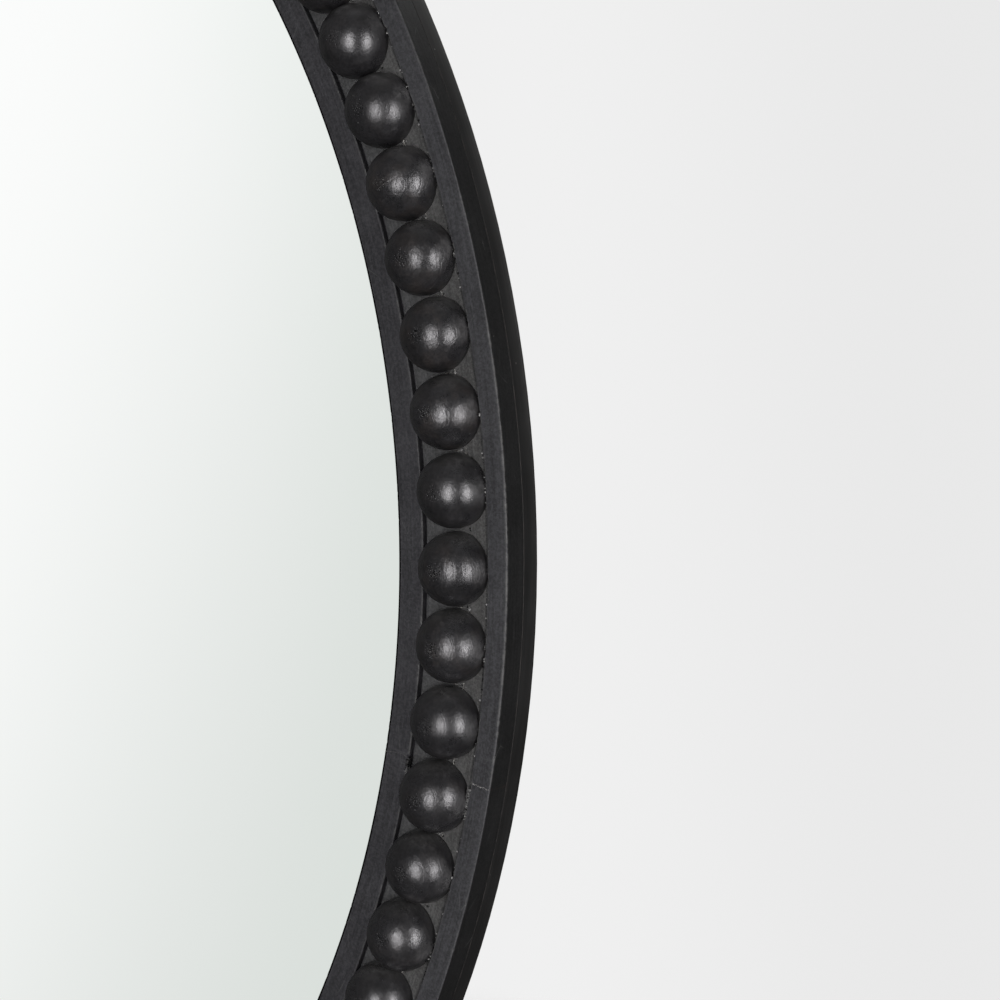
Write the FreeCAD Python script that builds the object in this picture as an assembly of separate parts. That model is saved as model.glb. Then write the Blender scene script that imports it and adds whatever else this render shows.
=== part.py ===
"""Round wall mirror whose frame carries a closed row of half-round wooden beads.

Millimetres, +Z up. The origin is the mirror's centre on the plane of the wall. The mirror faces -Y,
so every depth behind the wall plane is a negative Y. Polar angles are in degrees, seen from the
front, from the right-hand side (+X) towards the top (+Z).
"""
import FreeCAD, Part
import math
import os

# Frame: a front layer with the two lips and the groove, and a back layer with the rebates
frame_diameter = 914.0
inner_lip_width = 11.7
groove_width = 30.8
outer_lip_width = 8.5
groove_depth = 2.6
front_layer_depth = 11.0
segment_count = 6
first_joint_angle = -10.6
outer_arris_round = 0.9
lip_arris_round = 0.4
groove_arris_round = 0.3
seam_chamfer = 0.25

# Beads: balls cut flat a little below their centre, glued to the groove's floor
bead_diameter = 29.1
bead_flat_below_centre = 2.1
bead_least_gap = 0.4
first_bead_angle = -0.3
bead_set_count = 23

# Mirror plate and what holds it
glass_thickness = 4.0
glass_hidden_margin = 6.5
glass_edge_play = 0.6
glass_arris = 0.5
packing_thickness = 2.0
board_thickness = 3.0
board_ledge_width = 8.5
board_edge_play = 0.5
board_arris = 0.4

# Countersunk screws round the backing board
board_screw_count = 12
board_screw_first_angle = 15.0
board_screw_head_diameter = 6.0
board_screw_shank_diameter = 3.0
board_screw_length = 12.0
board_screw_head_rim = 0.3

# D-ring hangers, one on each side above the middle
hanger_angle = 15.0
hanger_inset = 15.2
strap_width = 13.0
strap_thickness = 1.0
strap_hole_spacing = 15.0
strap_hole_diameter = 3.8
strap_end_margin = 6.5
eye_curl_degrees = 300.0
ring_wire_diameter = 2.5
ring_eye_clearance = 0.1
ring_side_play = 0.25
ring_corner_radius = 3.0
ring_straight_side = 1.0
ring_to_screw_gap = 0.8

# Pan-head screws through the straps
strap_screw_count = 2
strap_screw_head_diameter = 6.4
strap_screw_head_height = 1.9
strap_screw_head_round = 0.9
strap_screw_shank_diameter = 3.2
strap_screw_length = 14.0
strap_screw_turn = 35.0

# Cross recess of both kinds of screw, and their points
recess_width = 0.8
recess_span = 3.2
recess_depth = 1.2
screw_point_length = 2.6
screw_point_radius = 0.3

# Stick-on bumpers, which set the frame's distance from the wall
bumper_diameter = 12.7
bumper_edge_round = 1.8
bumper_past_hanger = 0.3
bumper_angles = (45.0, 135.0, 225.0, 315.0)
bumper_names = ("top_right", "top_left", "bottom_left", "bottom_right")

# How far a cutting tool runs past the face that it cuts
overrun = 1.0

# Radii of the rings, from the outside in
frame_radius = frame_diameter / 2
groove_outer_radius = frame_radius - outer_lip_width
groove_inner_radius = groove_outer_radius - groove_width
sight_radius = groove_inner_radius - inner_lip_width
bead_ring_radius = (groove_outer_radius + groove_inner_radius) / 2
glass_radius = sight_radius + glass_hidden_margin
glass_rebate_radius = glass_radius + glass_edge_play
board_rebate_radius = glass_rebate_radius + board_ledge_width
board_radius = board_rebate_radius - board_edge_play
board_screw_radius = (glass_rebate_radius + board_radius) / 2
band_middle_radius = (frame_radius + board_rebate_radius) / 2

# The hanger's eye and its ring, measured from the middle of the eye
ring_wire_radius = ring_wire_diameter / 2
eye_inner_radius = ring_wire_radius + ring_eye_clearance
eye_outer_radius = eye_inner_radius + strap_thickness
ring_bar_half = strap_width / 2 + ring_side_play
ring_bow_radius = ring_bar_half + ring_corner_radius
ring_reach = ring_corner_radius + ring_straight_side + ring_bow_radius + ring_wire_radius
strap_first_hole = ring_reach + ring_to_screw_gap + strap_screw_head_diameter / 2
strap_length = strap_first_hole + strap_hole_spacing + strap_end_margin
pivot_ring_radius = frame_radius - hanger_inset

# Places along Y, from the wall to the front
wall_y = 0.0
back_y = wall_y - bumper_past_hanger - 2 * eye_outer_radius
pivot_y = back_y + eye_outer_radius
board_front_y = back_y - board_thickness
glass_back_y = board_front_y - packing_thickness
seam_y = glass_back_y - glass_thickness
front_y = seam_y - front_layer_depth
groove_floor_y = front_y + groove_depth
bead_centre_y = groove_floor_y - bead_flat_below_centre

origin = FreeCAD.Vector(0, 0, 0)
axis_x = FreeCAD.Vector(1, 0, 0)
axis_y = FreeCAD.Vector(0, 1, 0)
polar_axis = FreeCAD.Vector(0, -1, 0)

full_turn = 360.0
half_turn = full_turn / 2


def on_circle(radius, angle, y):
    """The point at a polar angle on a circle about the mirror's axis, at depth y."""
    turn = math.radians(angle)
    return FreeCAD.Vector(radius * math.cos(turn), y, radius * math.sin(turn))


def rounded_outline(corners):
    """A closed wire in the XY plane through corners (x, y, round), each with its own radius."""
    points = [FreeCAD.Vector(x, y, 0) for x, y, size in corners]
    bends = []
    for index, corner in enumerate(points):
        size = corners[index][2]
        if size == 0:
            bends.append((corner, corner, corner))
            continue
        to_previous = (points[index - 1] - corner).normalize()
        to_next = (points[(index + 1) % len(points)] - corner).normalize()
        half_angle = to_previous.getAngle(to_next) / 2
        along = size / math.tan(half_angle)
        inward = (to_previous + to_next).normalize()
        middle = corner + inward * (size / math.sin(half_angle) - size)
        bends.append((corner + to_previous * along, middle, corner + to_next * along))
    edges = []
    for index, (start, middle, end) in enumerate(bends):
        following_start = bends[(index + 1) % len(bends)][0]
        if start != end:
            edges.append(Part.Arc(start, middle, end).toShape())
        edges.append(Part.LineSegment(end, following_start).toShape())
    return Part.Wire(edges)


def turned(corners, first_angle=0.0, sweep=full_turn):
    """A solid turned about the mirror's axis from an outline of (radius, y, round) corners."""
    face = Part.Face(rounded_outline(corners))
    solid = face.revolve(origin, polar_axis, sweep)
    solid.rotate(origin, polar_axis, first_angle)
    return solid


def disc(radius, front, back, arris):
    """A flat round plate between two depths, with small rounds on its two arrises."""
    corners = (
        (0, front, 0),
        (radius, front, arris),
        (radius, back, arris),
        (0, back, 0),
    )
    return turned(corners)


def screw_body(head_radius, head_height, shank_radius, length, countersunk):
    """A screw along +Y with its point at negative Y and the top of its head at y = head_height.

    A countersunk head is a cone whose top is level with y = 0. length is measured from there.
    """
    point_start = -length + screw_point_length
    outline = [(0, -length, 0), (screw_point_radius, -length, 0), (shank_radius, point_start, 0)]
    if countersunk:
        cone_start = shank_radius - head_radius - board_screw_head_rim
        outline.append((shank_radius, cone_start, 0))
        outline.append((head_radius, -board_screw_head_rim, 0))
        outline.append((head_radius, 0, 0))
        outline.append((0, 0, 0))
    else:
        outline.append((shank_radius, 0, 0))
        outline.append((head_radius, 0, 0))
        outline.append((head_radius, head_height, strap_screw_head_round))
        outline.append((0, head_height, 0))
    face = Part.Face(rounded_outline(outline))
    return face.revolve(origin, axis_y, full_turn)


def cross_recess(top):
    """The cutting tool for a screw's cross recess, sunk from y = top."""
    tools = []
    for across, up in ((recess_span, recess_width), (recess_width, recess_span)):
        corner = FreeCAD.Vector(-across / 2, top - recess_depth, -up / 2)
        tools.append(Part.makeBox(across, recess_depth + overrun, up, corner))
    return tools[0].fuse(tools[1])


def board_screws():
    """The countersunk screws round the board: the bodies that fill their holes, and the screws."""
    head_radius = board_screw_head_diameter / 2
    shank_radius = board_screw_shank_diameter / 2
    bodies = []
    screws = []
    for number in range(board_screw_count):
        angle = board_screw_first_angle + number * full_turn / board_screw_count
        body = screw_body(head_radius, 0, shank_radius, board_screw_length, True)
        screw = body.cut(cross_recess(0))
        place = on_circle(board_screw_radius, angle, back_y)
        for shape, kept in ((body, bodies), (screw, screws)):
            shape.rotate(origin, axis_y, number * full_turn / board_screw_count)
            shape.translate(place)
            kept.append(shape)
    return bodies, screws


def pivot_point(side):
    """The middle of a hanger's eye. side is 1 on the right and -1 on the left."""
    point = on_circle(pivot_ring_radius, hanger_angle, pivot_y)
    return FreeCAD.Vector(side * point.x, point.y, point.z)


def strap_screws(side):
    """The pan-head screws of one strap: the bodies that fill their holes, and the screws."""
    pivot = pivot_point(side)
    head_radius = strap_screw_head_diameter / 2
    shank_radius = strap_screw_shank_diameter / 2
    bodies = []
    screws = []
    for number in range(strap_screw_count):
        down = strap_first_hole + number * strap_hole_spacing
        seat = FreeCAD.Vector(pivot.x, back_y + strap_thickness, pivot.z - down)
        body = screw_body(
            head_radius, strap_screw_head_height, shank_radius, strap_screw_length, False
        )
        screw = body.cut(cross_recess(strap_screw_head_height))
        for shape, kept in ((body, bodies), (screw, screws)):
            shape.rotate(origin, axis_y, (number + side) * strap_screw_turn)
            shape.translate(seat)
            kept.append(shape)
    return bodies, screws


def strap(side):
    """A hanger's strap: a flat plate with a rounded end, rolled at the top into the ring's eye."""
    half_width = strap_width / 2
    plate = Part.makeBox(
        strap_width,
        strap_thickness,
        strap_length - half_width,
        FreeCAD.Vector(-half_width, -eye_outer_radius, half_width - strap_length),
    )
    end_centre = FreeCAD.Vector(0, -eye_outer_radius, half_width - strap_length)
    end = Part.makeCylinder(half_width, strap_thickness, end_centre, axis_y)
    curl_start = FreeCAD.Vector(-half_width, 0, 0)
    curl = Part.makeCylinder(eye_outer_radius, strap_width, curl_start, axis_x, eye_curl_degrees)
    curl.rotate(origin, axis_x, half_turn)
    body = plate.fuse([end, curl]).removeSplitter()
    bore_start = FreeCAD.Vector(-half_width - overrun, 0, 0)
    body = body.cut(Part.makeCylinder(eye_inner_radius, strap_width + 2 * overrun, bore_start, axis_x))
    for number in range(strap_screw_count):
        down = strap_first_hole + number * strap_hole_spacing
        hole_start = FreeCAD.Vector(0, -eye_outer_radius - overrun, -down)
        hole_length = strap_thickness + 2 * overrun
        body = body.cut(Part.makeCylinder(strap_hole_diameter / 2, hole_length, hole_start, axis_y))
    body.translate(pivot_point(side))
    return body


def hanger_ring(side):
    """A D-shaped wire ring, hanging down from its straight bar, which turns in the strap's eye."""
    diagonal = ring_corner_radius * math.sqrt(0.5)
    side_top = -ring_corner_radius
    side_bottom = side_top - ring_straight_side
    bar = {}
    bend = {}
    top = {}
    bottom = {}
    for way in (-1, 1):
        bar[way] = FreeCAD.Vector(way * ring_bar_half, 0, 0)
        bend[way] = FreeCAD.Vector(way * (ring_bar_half + diagonal), 0, diagonal + side_top)
        top[way] = FreeCAD.Vector(way * ring_bow_radius, 0, side_top)
        bottom[way] = FreeCAD.Vector(way * ring_bow_radius, 0, side_bottom)
    bow_bottom = FreeCAD.Vector(0, 0, side_bottom - ring_bow_radius)
    path = Part.Wire(
        [
            Part.LineSegment(bar[-1], bar[1]).toShape(),
            Part.Arc(bar[1], bend[1], top[1]).toShape(),
            Part.LineSegment(top[1], bottom[1]).toShape(),
            Part.Arc(bottom[1], bow_bottom, bottom[-1]).toShape(),
            Part.LineSegment(bottom[-1], top[-1]).toShape(),
            Part.Arc(top[-1], bend[-1], bar[-1]).toShape(),
        ]
    )
    section = Part.Wire(Part.makeCircle(ring_wire_radius, bar[-1], axis_x))
    ring = path.makePipeShell([section], True, False)
    ring.translate(pivot_point(side))
    return ring


def bumper(angle):
    """A stick-on bumper with a rounded rim, from the frame's back to the wall."""
    radius = bumper_diameter / 2
    outline = (
        (0, back_y, 0),
        (radius, back_y, 0),
        (radius, wall_y, bumper_edge_round),
        (0, wall_y, 0),
    )
    face = Part.Face(rounded_outline(outline))
    pad = face.revolve(origin, axis_y, full_turn)
    pad.translate(on_circle(band_middle_radius, angle, 0))
    return pad


def front_segment(first_angle):
    """One segment of the front layer: inner lip, bead groove and outer lip in one piece."""
    corners = (
        (sight_radius, front_y, lip_arris_round),
        (groove_inner_radius, front_y, groove_arris_round),
        (groove_inner_radius, groove_floor_y, 0),
        (groove_outer_radius, groove_floor_y, 0),
        (groove_outer_radius, front_y, groove_arris_round),
        (frame_radius, front_y, outer_arris_round),
        (frame_radius, seam_y - seam_chamfer, 0),
        (frame_radius - seam_chamfer, seam_y, 0),
        (sight_radius, seam_y, 0),
    )
    return turned(corners, first_angle, full_turn / segment_count)


def back_segment(first_angle):
    """One segment of the back layer, stepped inside for the plate and the backing board."""
    corners = (
        (glass_rebate_radius, seam_y, 0),
        (frame_radius - seam_chamfer, seam_y, 0),
        (frame_radius, seam_y + seam_chamfer, 0),
        (frame_radius, back_y, lip_arris_round),
        (board_rebate_radius, back_y, lip_arris_round),
        (board_rebate_radius, board_front_y, 0),
        (glass_rebate_radius, board_front_y, 0),
    )
    return turned(corners, first_angle, full_turn / segment_count)


def bead(angle):
    """One half-round bead, its flat side on the groove's floor."""
    radius = bead_diameter / 2
    flat_radius = math.sqrt(radius ** 2 - bead_flat_below_centre ** 2)
    flat_middle = FreeCAD.Vector(0, bead_flat_below_centre, 0)
    flat_rim = FreeCAD.Vector(flat_radius, bead_flat_below_centre, 0)
    widest = FreeCAD.Vector(radius, 0, 0)
    top = FreeCAD.Vector(0, -radius, 0)
    edges = [
        Part.LineSegment(flat_middle, flat_rim).toShape(),
        Part.Arc(flat_rim, widest, top).toShape(),
        Part.LineSegment(top, flat_middle).toShape(),
    ]
    ball = Part.Face(Part.Wire(edges)).revolve(origin, axis_y, full_turn)
    ball.rotate(origin, polar_axis, angle)
    ball.translate(on_circle(bead_ring_radius, angle, bead_centre_y))
    return ball


def bead_count():
    """As many beads as close the row with at least the least gap between neighbours."""
    half_chord = (bead_diameter + bead_least_gap) / 2
    pitch = 2 * math.degrees(math.asin(half_chord / bead_ring_radius))
    return int(full_turn / pitch)


def save(name, solids):
    """Write one node, as a single solid or as a group of separate solids."""
    shape = solids[0] if len(solids) == 1 else Part.makeCompound(solids)
    for solid in shape.Solids:
        if not solid.isValid():
            raise ValueError(name + " has a solid that is not valid")
    shape.exportStep(os.path.join("parts", name + ".step"))
    volume = sum(solid.Volume for solid in shape.Solids)
    print(name, len(shape.Solids), "solids", round(volume), "cubic mm")


def build():
    """Make every piece of the mirror and write it to its node's file."""
    os.makedirs("parts", exist_ok=True)
    board_bodies, board_screw_solids = board_screws()
    right_bodies, right_screws = strap_screws(1)
    left_bodies, left_screws = strap_screws(-1)
    screw_bodies = Part.makeCompound(board_bodies + right_bodies + left_bodies)

    segment_angle = full_turn / segment_count
    for number in range(segment_count):
        front_start = first_joint_angle + number * segment_angle
        front = front_segment(front_start).cut(screw_bodies)
        back = back_segment(front_start + segment_angle / 2).cut(screw_bodies)
        save("front_segment_" + str(number + 1), front.Solids)
        save("back_segment_" + str(number + 1), back.Solids)

    beads = bead_count()
    pitch = full_turn / beads
    for number in range(bead_set_count):
        first = number * beads // bead_set_count
        last = (number + 1) * beads // bead_set_count
        solids = [bead(first_bead_angle + index * pitch) for index in range(first, last)]
        save("beads_" + str(number + 1).zfill(2), solids)
    print(beads, "beads, pitch", round(pitch, 4), "degrees")

    save("mirror_glass", [disc(glass_radius, seam_y, glass_back_y, glass_arris)])
    save("packing_sheet", [disc(glass_radius, glass_back_y, board_front_y, 0)])
    board = disc(board_radius, board_front_y, back_y, board_arris)
    save("backing_board", board.cut(Part.makeCompound(board_bodies)).Solids)
    save("board_screws", board_screw_solids)

    for side, name, screws in ((1, "right", right_screws), (-1, "left", left_screws)):
        save("hanger_strap_" + name, strap(side).Solids)
        save("hanger_ring_" + name, hanger_ring(side).Solids)
        save("hanger_screws_" + name, screws)

    for angle, name in zip(bumper_angles, bumper_names):
        save("bumper_" + name, [bumper(angle)])


build()
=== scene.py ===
"""Looks of a round wall mirror whose frame carries a closed row of half-round beads.

Everything is in metres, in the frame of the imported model: the mirror faces -Y, +Z is up, and the
origin is its centre on the wall. Polar angles are in degrees, from +X towards +Z.
"""
import logging
import math
from dataclasses import dataclass
from enum import Enum
from typing import NamedTuple, Optional, Sequence, Union

import bpy
import numpy as np
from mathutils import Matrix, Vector


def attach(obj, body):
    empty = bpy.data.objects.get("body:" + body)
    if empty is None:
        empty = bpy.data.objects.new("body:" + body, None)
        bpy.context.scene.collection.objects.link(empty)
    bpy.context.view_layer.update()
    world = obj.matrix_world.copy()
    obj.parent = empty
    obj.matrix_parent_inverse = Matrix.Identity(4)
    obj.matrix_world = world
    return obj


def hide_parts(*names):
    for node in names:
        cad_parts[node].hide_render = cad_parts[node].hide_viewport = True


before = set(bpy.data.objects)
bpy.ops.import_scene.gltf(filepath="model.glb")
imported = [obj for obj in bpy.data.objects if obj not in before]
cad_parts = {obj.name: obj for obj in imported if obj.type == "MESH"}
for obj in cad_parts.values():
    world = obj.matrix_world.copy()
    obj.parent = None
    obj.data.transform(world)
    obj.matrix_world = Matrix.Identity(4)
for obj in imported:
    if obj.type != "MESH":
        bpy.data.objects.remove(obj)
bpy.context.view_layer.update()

BODY = "mirror"
FULL_TURN = 360.0
QUARTER_TURN = FULL_TURN / 4
SEGMENTS = 6
SEGMENT_SPAN = FULL_TURN / SEGMENTS
FIRST_JOINT = -10.6
CRACK_OFFSET = -0.16
FLOOR_DEPTH = -0.0224
SEAM_DEPTH = -0.014
SMALLEST = 1e-9

Tone = tuple[float, float, float]
Span = tuple[float, ...]
Faces = list[tuple[int, ...]]
Draw = np.random.RandomState
Reading = Union[float, np.ndarray]
Source = Union[float, Sequence[float], "Signal"]
Inputs = dict[Union[int, str], Optional[Source]]

log = logging.getLogger("beaded_wall_mirror")


def smooth_noise(places: np.ndarray, seed: int) -> np.ndarray:
    """Smooth one-dimensional noise.

    Args:
        places: where the noise is read; its features are one unit long.
        seed: names one fixed run of random heights.

    Returns:
        Values from 0 to 1, one for each place.
    """
    first = int(math.floor(places.min()))
    heights = Draw(seed).rand(int(places.max()) - first + 3)
    cell = np.floor(places).astype(int)
    share = places - cell
    share = share * share * (3 - 2 * share)
    low = heights[cell - first]
    return low + (heights[cell - first + 1] - low) * share


def on_ring(radius: Reading, angle: Reading, depth: Reading, along: float = 0.0) -> np.ndarray:
    """Points round the mirror's axis.

    Args:
        radius: their distance from the axis.
        angle: their polar angle.
        depth: their y.
        along: how far along the ring they lie from that angle.

    Returns:
        The points, in rows where an argument is a row.
    """
    turn = np.radians(angle) + along / radius
    return np.stack(np.broadcast_arrays(radius * np.cos(turn), depth, radius * np.sin(turn)), axis=-1)


def from_nearest(angles: np.ndarray, first: float, pitch: float) -> np.ndarray:
    """How far each angle is past the nearest one of a row that starts at first."""
    return np.mod(angles - first + pitch / 2, pitch) - pitch / 2


def tube(rings: int, sides: int) -> Faces:
    """Join rings of points into a closed tube.

    Args:
        rings: how many rings there are.
        sides: how many points each has.

    Returns:
        The tube's faces, with one at each end.
    """
    last = (rings - 1) * sides
    faces: Faces = []
    for ring in range(0, last, sides):
        for side in range(sides):
            near, after = ring + side, ring + (side + 1) % sides
            faces.append((near, after, after + sides, near + sides))
    return faces + [tuple(reversed(range(sides))), tuple(range(last, last + sides))]


def crack_angle(number: int) -> float:
    """The polar angle of one of the cracks between the front layer's segments."""
    return FIRST_JOINT + CRACK_OFFSET + number * SEGMENT_SPAN


class Parts:
    """One mesh, gathered a part at a time."""

    def __init__(self) -> None:
        """Start with nothing."""
        self.points: list[np.ndarray] = []
        self.faces: Faces = []
        self.masks: dict[str, list[np.ndarray]] = {}
        self.count = 0

    def add(self, points: Sequence, faces: Faces, **masks: Reading) -> None:
        """Add one part.

        Args:
            points: its points.
            faces: its faces, by the part's own point numbers.
            masks: what the finish reads, by name: one number for each point or for them all.
        """
        self.points.append(np.asarray(points))
        self.faces += [tuple(self.count + corner for corner in face) for face in faces]
        self.count += len(points)
        for name, values in masks.items():
            self.masks.setdefault(name, []).append(np.broadcast_to(values, len(points)))

    def piece(self, name: str, smooth: bool = True) -> bpy.types.Object:
        """Make the object.

        Args:
            name: its name, which is also its mesh's.
            smooth: whether its faces are shaded smooth.

        Returns:
            The new object, in the scene.
        """
        mesh = bpy.data.meshes.new(name)
        mesh.from_pydata(np.concatenate(self.points).tolist(), [], self.faces)
        mesh.validate()
        mesh.polygons.foreach_set("use_smooth", [smooth] * len(mesh.polygons))
        for mask, values in self.masks.items():
            layer = mesh.attributes.new(mask, "FLOAT", "POINT")
            layer.data.foreach_set("value", np.concatenate(values).astype(np.float32))
        piece = bpy.data.objects.new(name, mesh)
        bpy.context.scene.collection.objects.link(piece)
        return piece


def mount(piece: bpy.types.Object, finish: "Finish", node: Optional[str] = None) -> None:
    """Fix a new piece to the mirror's body and dress it.

    Args:
        piece: the new piece.
        finish: its finish.
        node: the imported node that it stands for, if any.
    """
    piece.data.materials.append(finish.material())
    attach(piece, BODY)
    if node is not None:
        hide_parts(node)
    log.info("%s: %d faces, finish %s", piece.name, len(piece.data.polygons), finish.name)


def dress(node: str, finish: "Finish") -> None:
    """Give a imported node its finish.

    Args:
        node: the node's name.
        finish: its finish.
    """
    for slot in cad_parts[node].material_slots:
        slot.material = finish.material()
    log.info("%s: finish %s", node, finish.name)


class Noise(NamedTuple):
    """Cloudy noise: features to a metre, its finer layers, their strength, and a span for its value."""

    scale: float
    detail: float = 2.0
    rough: float = 0.5
    levels: Span = ()


class Streaks(NamedTuple):
    """Streaks round the mirror: features to a metre across and along them, and their finer layers."""

    across: float
    along: float
    detail: float = 3.0
    rough: float = 0.6


class Specks(NamedTuple):
    """Specks of dust: cells to a metre that may hold one, its size there, and the patches they lie in."""

    scale: float
    size: float
    patch_cells: float = 3.2
    patch_share: Span = (0.5, 0.56)


class Signal:
    """What a shader node gives: a number, a vector or a colour."""

    def __init__(self, nodes: "Nodes", socket: bpy.types.NodeSocket) -> None:
        """Take one output of a node."""
        self.nodes = nodes
        self.socket = socket

    def __add__(self, other: Source) -> "Signal":
        """The sum."""
        return self.nodes.math("ADD", self, other)

    def __mul__(self, other: Source) -> "Signal":
        """The product."""
        return self.nodes.math("MULTIPLY", self, other)

    def __sub__(self, other: Source) -> "Signal":
        """What is left when the other is taken off."""
        return self.nodes.math("SUBTRACT", self, other)

    def __rsub__(self, other: Source) -> "Signal":
        """What is left of the other."""
        return self.nodes.math("SUBTRACT", other, self)

    def __lt__(self, other: Source) -> "Signal":
        """1 where it is less than the other, otherwise 0."""
        return self.nodes.math("LESS_THAN", self, other)

    def __gt__(self, other: Source) -> "Signal":
        """1 where it is more than the other, otherwise 0."""
        return self.nodes.math("GREATER_THAN", self, other)

    def __abs__(self) -> "Signal":
        """The number without its sign."""
        return self.nodes.math("ABSOLUTE", self)

    def span(self, low: float, high: float, start: float = 0.0, end: float = 1.0) -> "Signal":
        """Turn a number between low and high smoothly into one between start and end."""
        inputs = dict(enumerate((self, low, high, start, end)))
        return self.nodes.read("MapRange", inputs, interpolation_type="SMOOTHSTEP")

    def parts(self) -> tuple["Signal", ...]:
        """The three parts of a vector."""
        outputs = self.nodes.node("SeparateXYZ", {0: self}).outputs
        return tuple(Signal(self.nodes, output) for output in outputs)


class Nodes:
    """A tree of shader nodes, built a step at a time."""

    def __init__(self, tree: bpy.types.NodeTree) -> None:
        """Start on a tree that is there already."""
        self.tree = tree

    def feed(self, value: Source, socket: bpy.types.NodeSocket) -> None:
        """Link a signal to a socket, or set a constant there.

        Args:
            value: the signal or constant.
            socket: where it goes.
        """
        if isinstance(value, Signal):
            self.tree.links.new(value.socket, socket)
        elif isinstance(value, (int, float)):
            socket.default_value = value
        else:
            padded = tuple(value) + (1.0,)
            socket.default_value = padded[:len(socket.default_value)]

    def node(self, kind: str, inputs: Inputs, **options: str) -> bpy.types.Node:
        """Add a node.

        Args:
            kind: its type, without ShaderNode.
            inputs: what its sockets take, by number or name, or None for nothing.
            options: its own options.

        Returns:
            The node.
        """
        node = self.tree.nodes.new(f"ShaderNode{kind}")
        for option, value in options.items():
            setattr(node, option, value)
        for key, value in inputs.items():
            if value is not None:
                self.feed(value, node.inputs[key])
        return node

    def read(self, kind: str, inputs: Inputs, output: Union[int, str] = 0, **options: str) -> Signal:
        """Add a node and read one of its outputs, by number or name."""
        return Signal(self, self.node(kind, inputs, **options).outputs[output])

    def math(self, operation: str, *values: Source) -> Signal:
        """One sum or function of numbers."""
        return self.read("Math", dict(enumerate(values)), operation=operation)

    def joined(self, x: Source, y: Source, z: Source) -> Signal:
        """A vector of three parts."""
        return self.read("CombineXYZ", {0: x, 1: y, 2: z})

    def blend(self, share: Source, first: Source, second: Source) -> Signal:
        """Mix two colours; share 0 gives the first."""
        return self.read("Mix", {0: share, 6: first, 7: second}, 2, data_type="RGBA")

    def tinted(self, tone: Source, light: Source) -> Signal:
        """A colour made lighter or darker by a factor."""
        inputs = {0: 1.0, 6: tone, 7: self.joined(light, light, light)}
        return self.read("Mix", inputs, 2, data_type="RGBA", blend_type="MULTIPLY")

    def ray(self, kind: str) -> Signal:
        """What the ray's path says of it."""
        return self.read("LightPath", {}, kind)

    def mask(self, name: str) -> Signal:
        """A number that the mesh carries."""
        return self.read("Attribute", {}, "Fac", attribute_name=name)

    def place(self) -> Signal:
        """The point's place on the object."""
        return self.read("TexCoord", {}, "Object")

    def radius(self) -> Signal:
        """The point's distance from the mirror's axis."""
        x, _, z = self.place().parts()
        return self.math("SQRT", x * x + z * z)

    def from_crack(self) -> Signal:
        """Measure from the nearest crack between the front layer's segments.

        Returns:
            The point's distance from it.
        """
        x, _, z = self.place().parts()
        turns = [math.radians(crack_angle(number)) for number in range(SEGMENTS // 2)]
        first, second, third = (abs(x * math.sin(turn) - z * math.cos(turn)) for turn in turns)
        return self.math("MINIMUM", self.math("MINIMUM", first, second), third)

    def grain(self, noise: Noise, where: Optional[Signal] = None, fourth: Optional[Signal] = None) -> Signal:
        """Read cloudy noise.

        Args:
            noise: the noise.
            where: where it is read, if not at the point's place.
            fourth: a fourth part of that, if the noise needs one.

        Returns:
            Its value, from 0 to 1 or spread over its levels.
        """
        inputs = {"Vector": where or self.place(), "W": fourth, "Scale": noise.scale,
                  "Detail": noise.detail, "Roughness": noise.rough}
        value = self.read("TexNoise", inputs, "Fac", noise_dimensions="4D" if fourth else "3D")
        return value.span(*noise.levels) if noise.levels else value

    def cells(self, scale: float, where: Optional[Signal] = None, feature: str = "F1") -> Signal:
        """Distance in a pattern of irregular cells."""
        return self.read("TexVoronoi", {"Vector": where or self.place(), "Scale": scale}, "Distance",
                         feature=feature)

    def specks(self, dust: Specks) -> Signal:
        """Specks of dust in patches: 1 on a speck, otherwise 0."""
        patches = self.grain(Noise(dust.scale / dust.patch_cells, levels=dust.patch_share))
        return (self.cells(dust.scale) < dust.size) * patches

    def round_the_ring(self, streaks: Streaks) -> Signal:
        """Make streaks that run round the mirror, with no seam.

        Args:
            streaks: their size.

        Returns:
            The streaks' value from 0 to 1.
        """
        x, y, z = self.place().parts()
        across, along, detail, rough = streaks
        where = self.joined(self.radius() * across, y * across, x * along)
        return self.grain(Noise(1.0, detail, rough), where, z * along)

    def relief(self, *layers: tuple[Signal, float]) -> Signal:
        """Bend the normal.

        Args:
            layers: heights from 0 to 1, each with how high 1 stands in metres.

        Returns:
            The bent normal.
        """
        normal = None
        for height, depth in layers:
            inputs = {"Strength": 1.0, "Distance": depth, "Height": height, "Normal": normal}
            normal = self.read("Bump", inputs)
        return normal


class Shade(Nodes):
    """The nodes of one material."""

    def __init__(self, name: str) -> None:
        """Start a material with a plain surface shader.

        Args:
            name: its name.
        """
        self.made = bpy.data.materials.new(name)
        self.made.use_nodes = True
        super().__init__(self.made.node_tree)
        self.surface = self.tree.nodes["Principled BSDF"]

    def set(self, **values: Source) -> None:
        """Set the surface's sockets by name, with _ for each space."""
        for name, value in values.items():
            self.feed(value, self.surface.inputs[name.replace("_", " ")])


class Finish:
    """A finish that makes its material once."""

    name: str = ""
    made: dict[str, bpy.types.Material] = {}

    def material(self) -> bpy.types.Material:
        """Make the finish's material on first use.

        Returns:
            The material.
        """
        if self.name not in Finish.made:
            shade = Shade(self.name)
            self.build(shade)
            Finish.made[self.name] = shade.made
        return Finish.made[self.name]

    def build(self, shade: Shade) -> None:
        """Set up the material's nodes.

        Args:
            shade: the material to set up.
        """
        raise NotImplementedError


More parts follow.
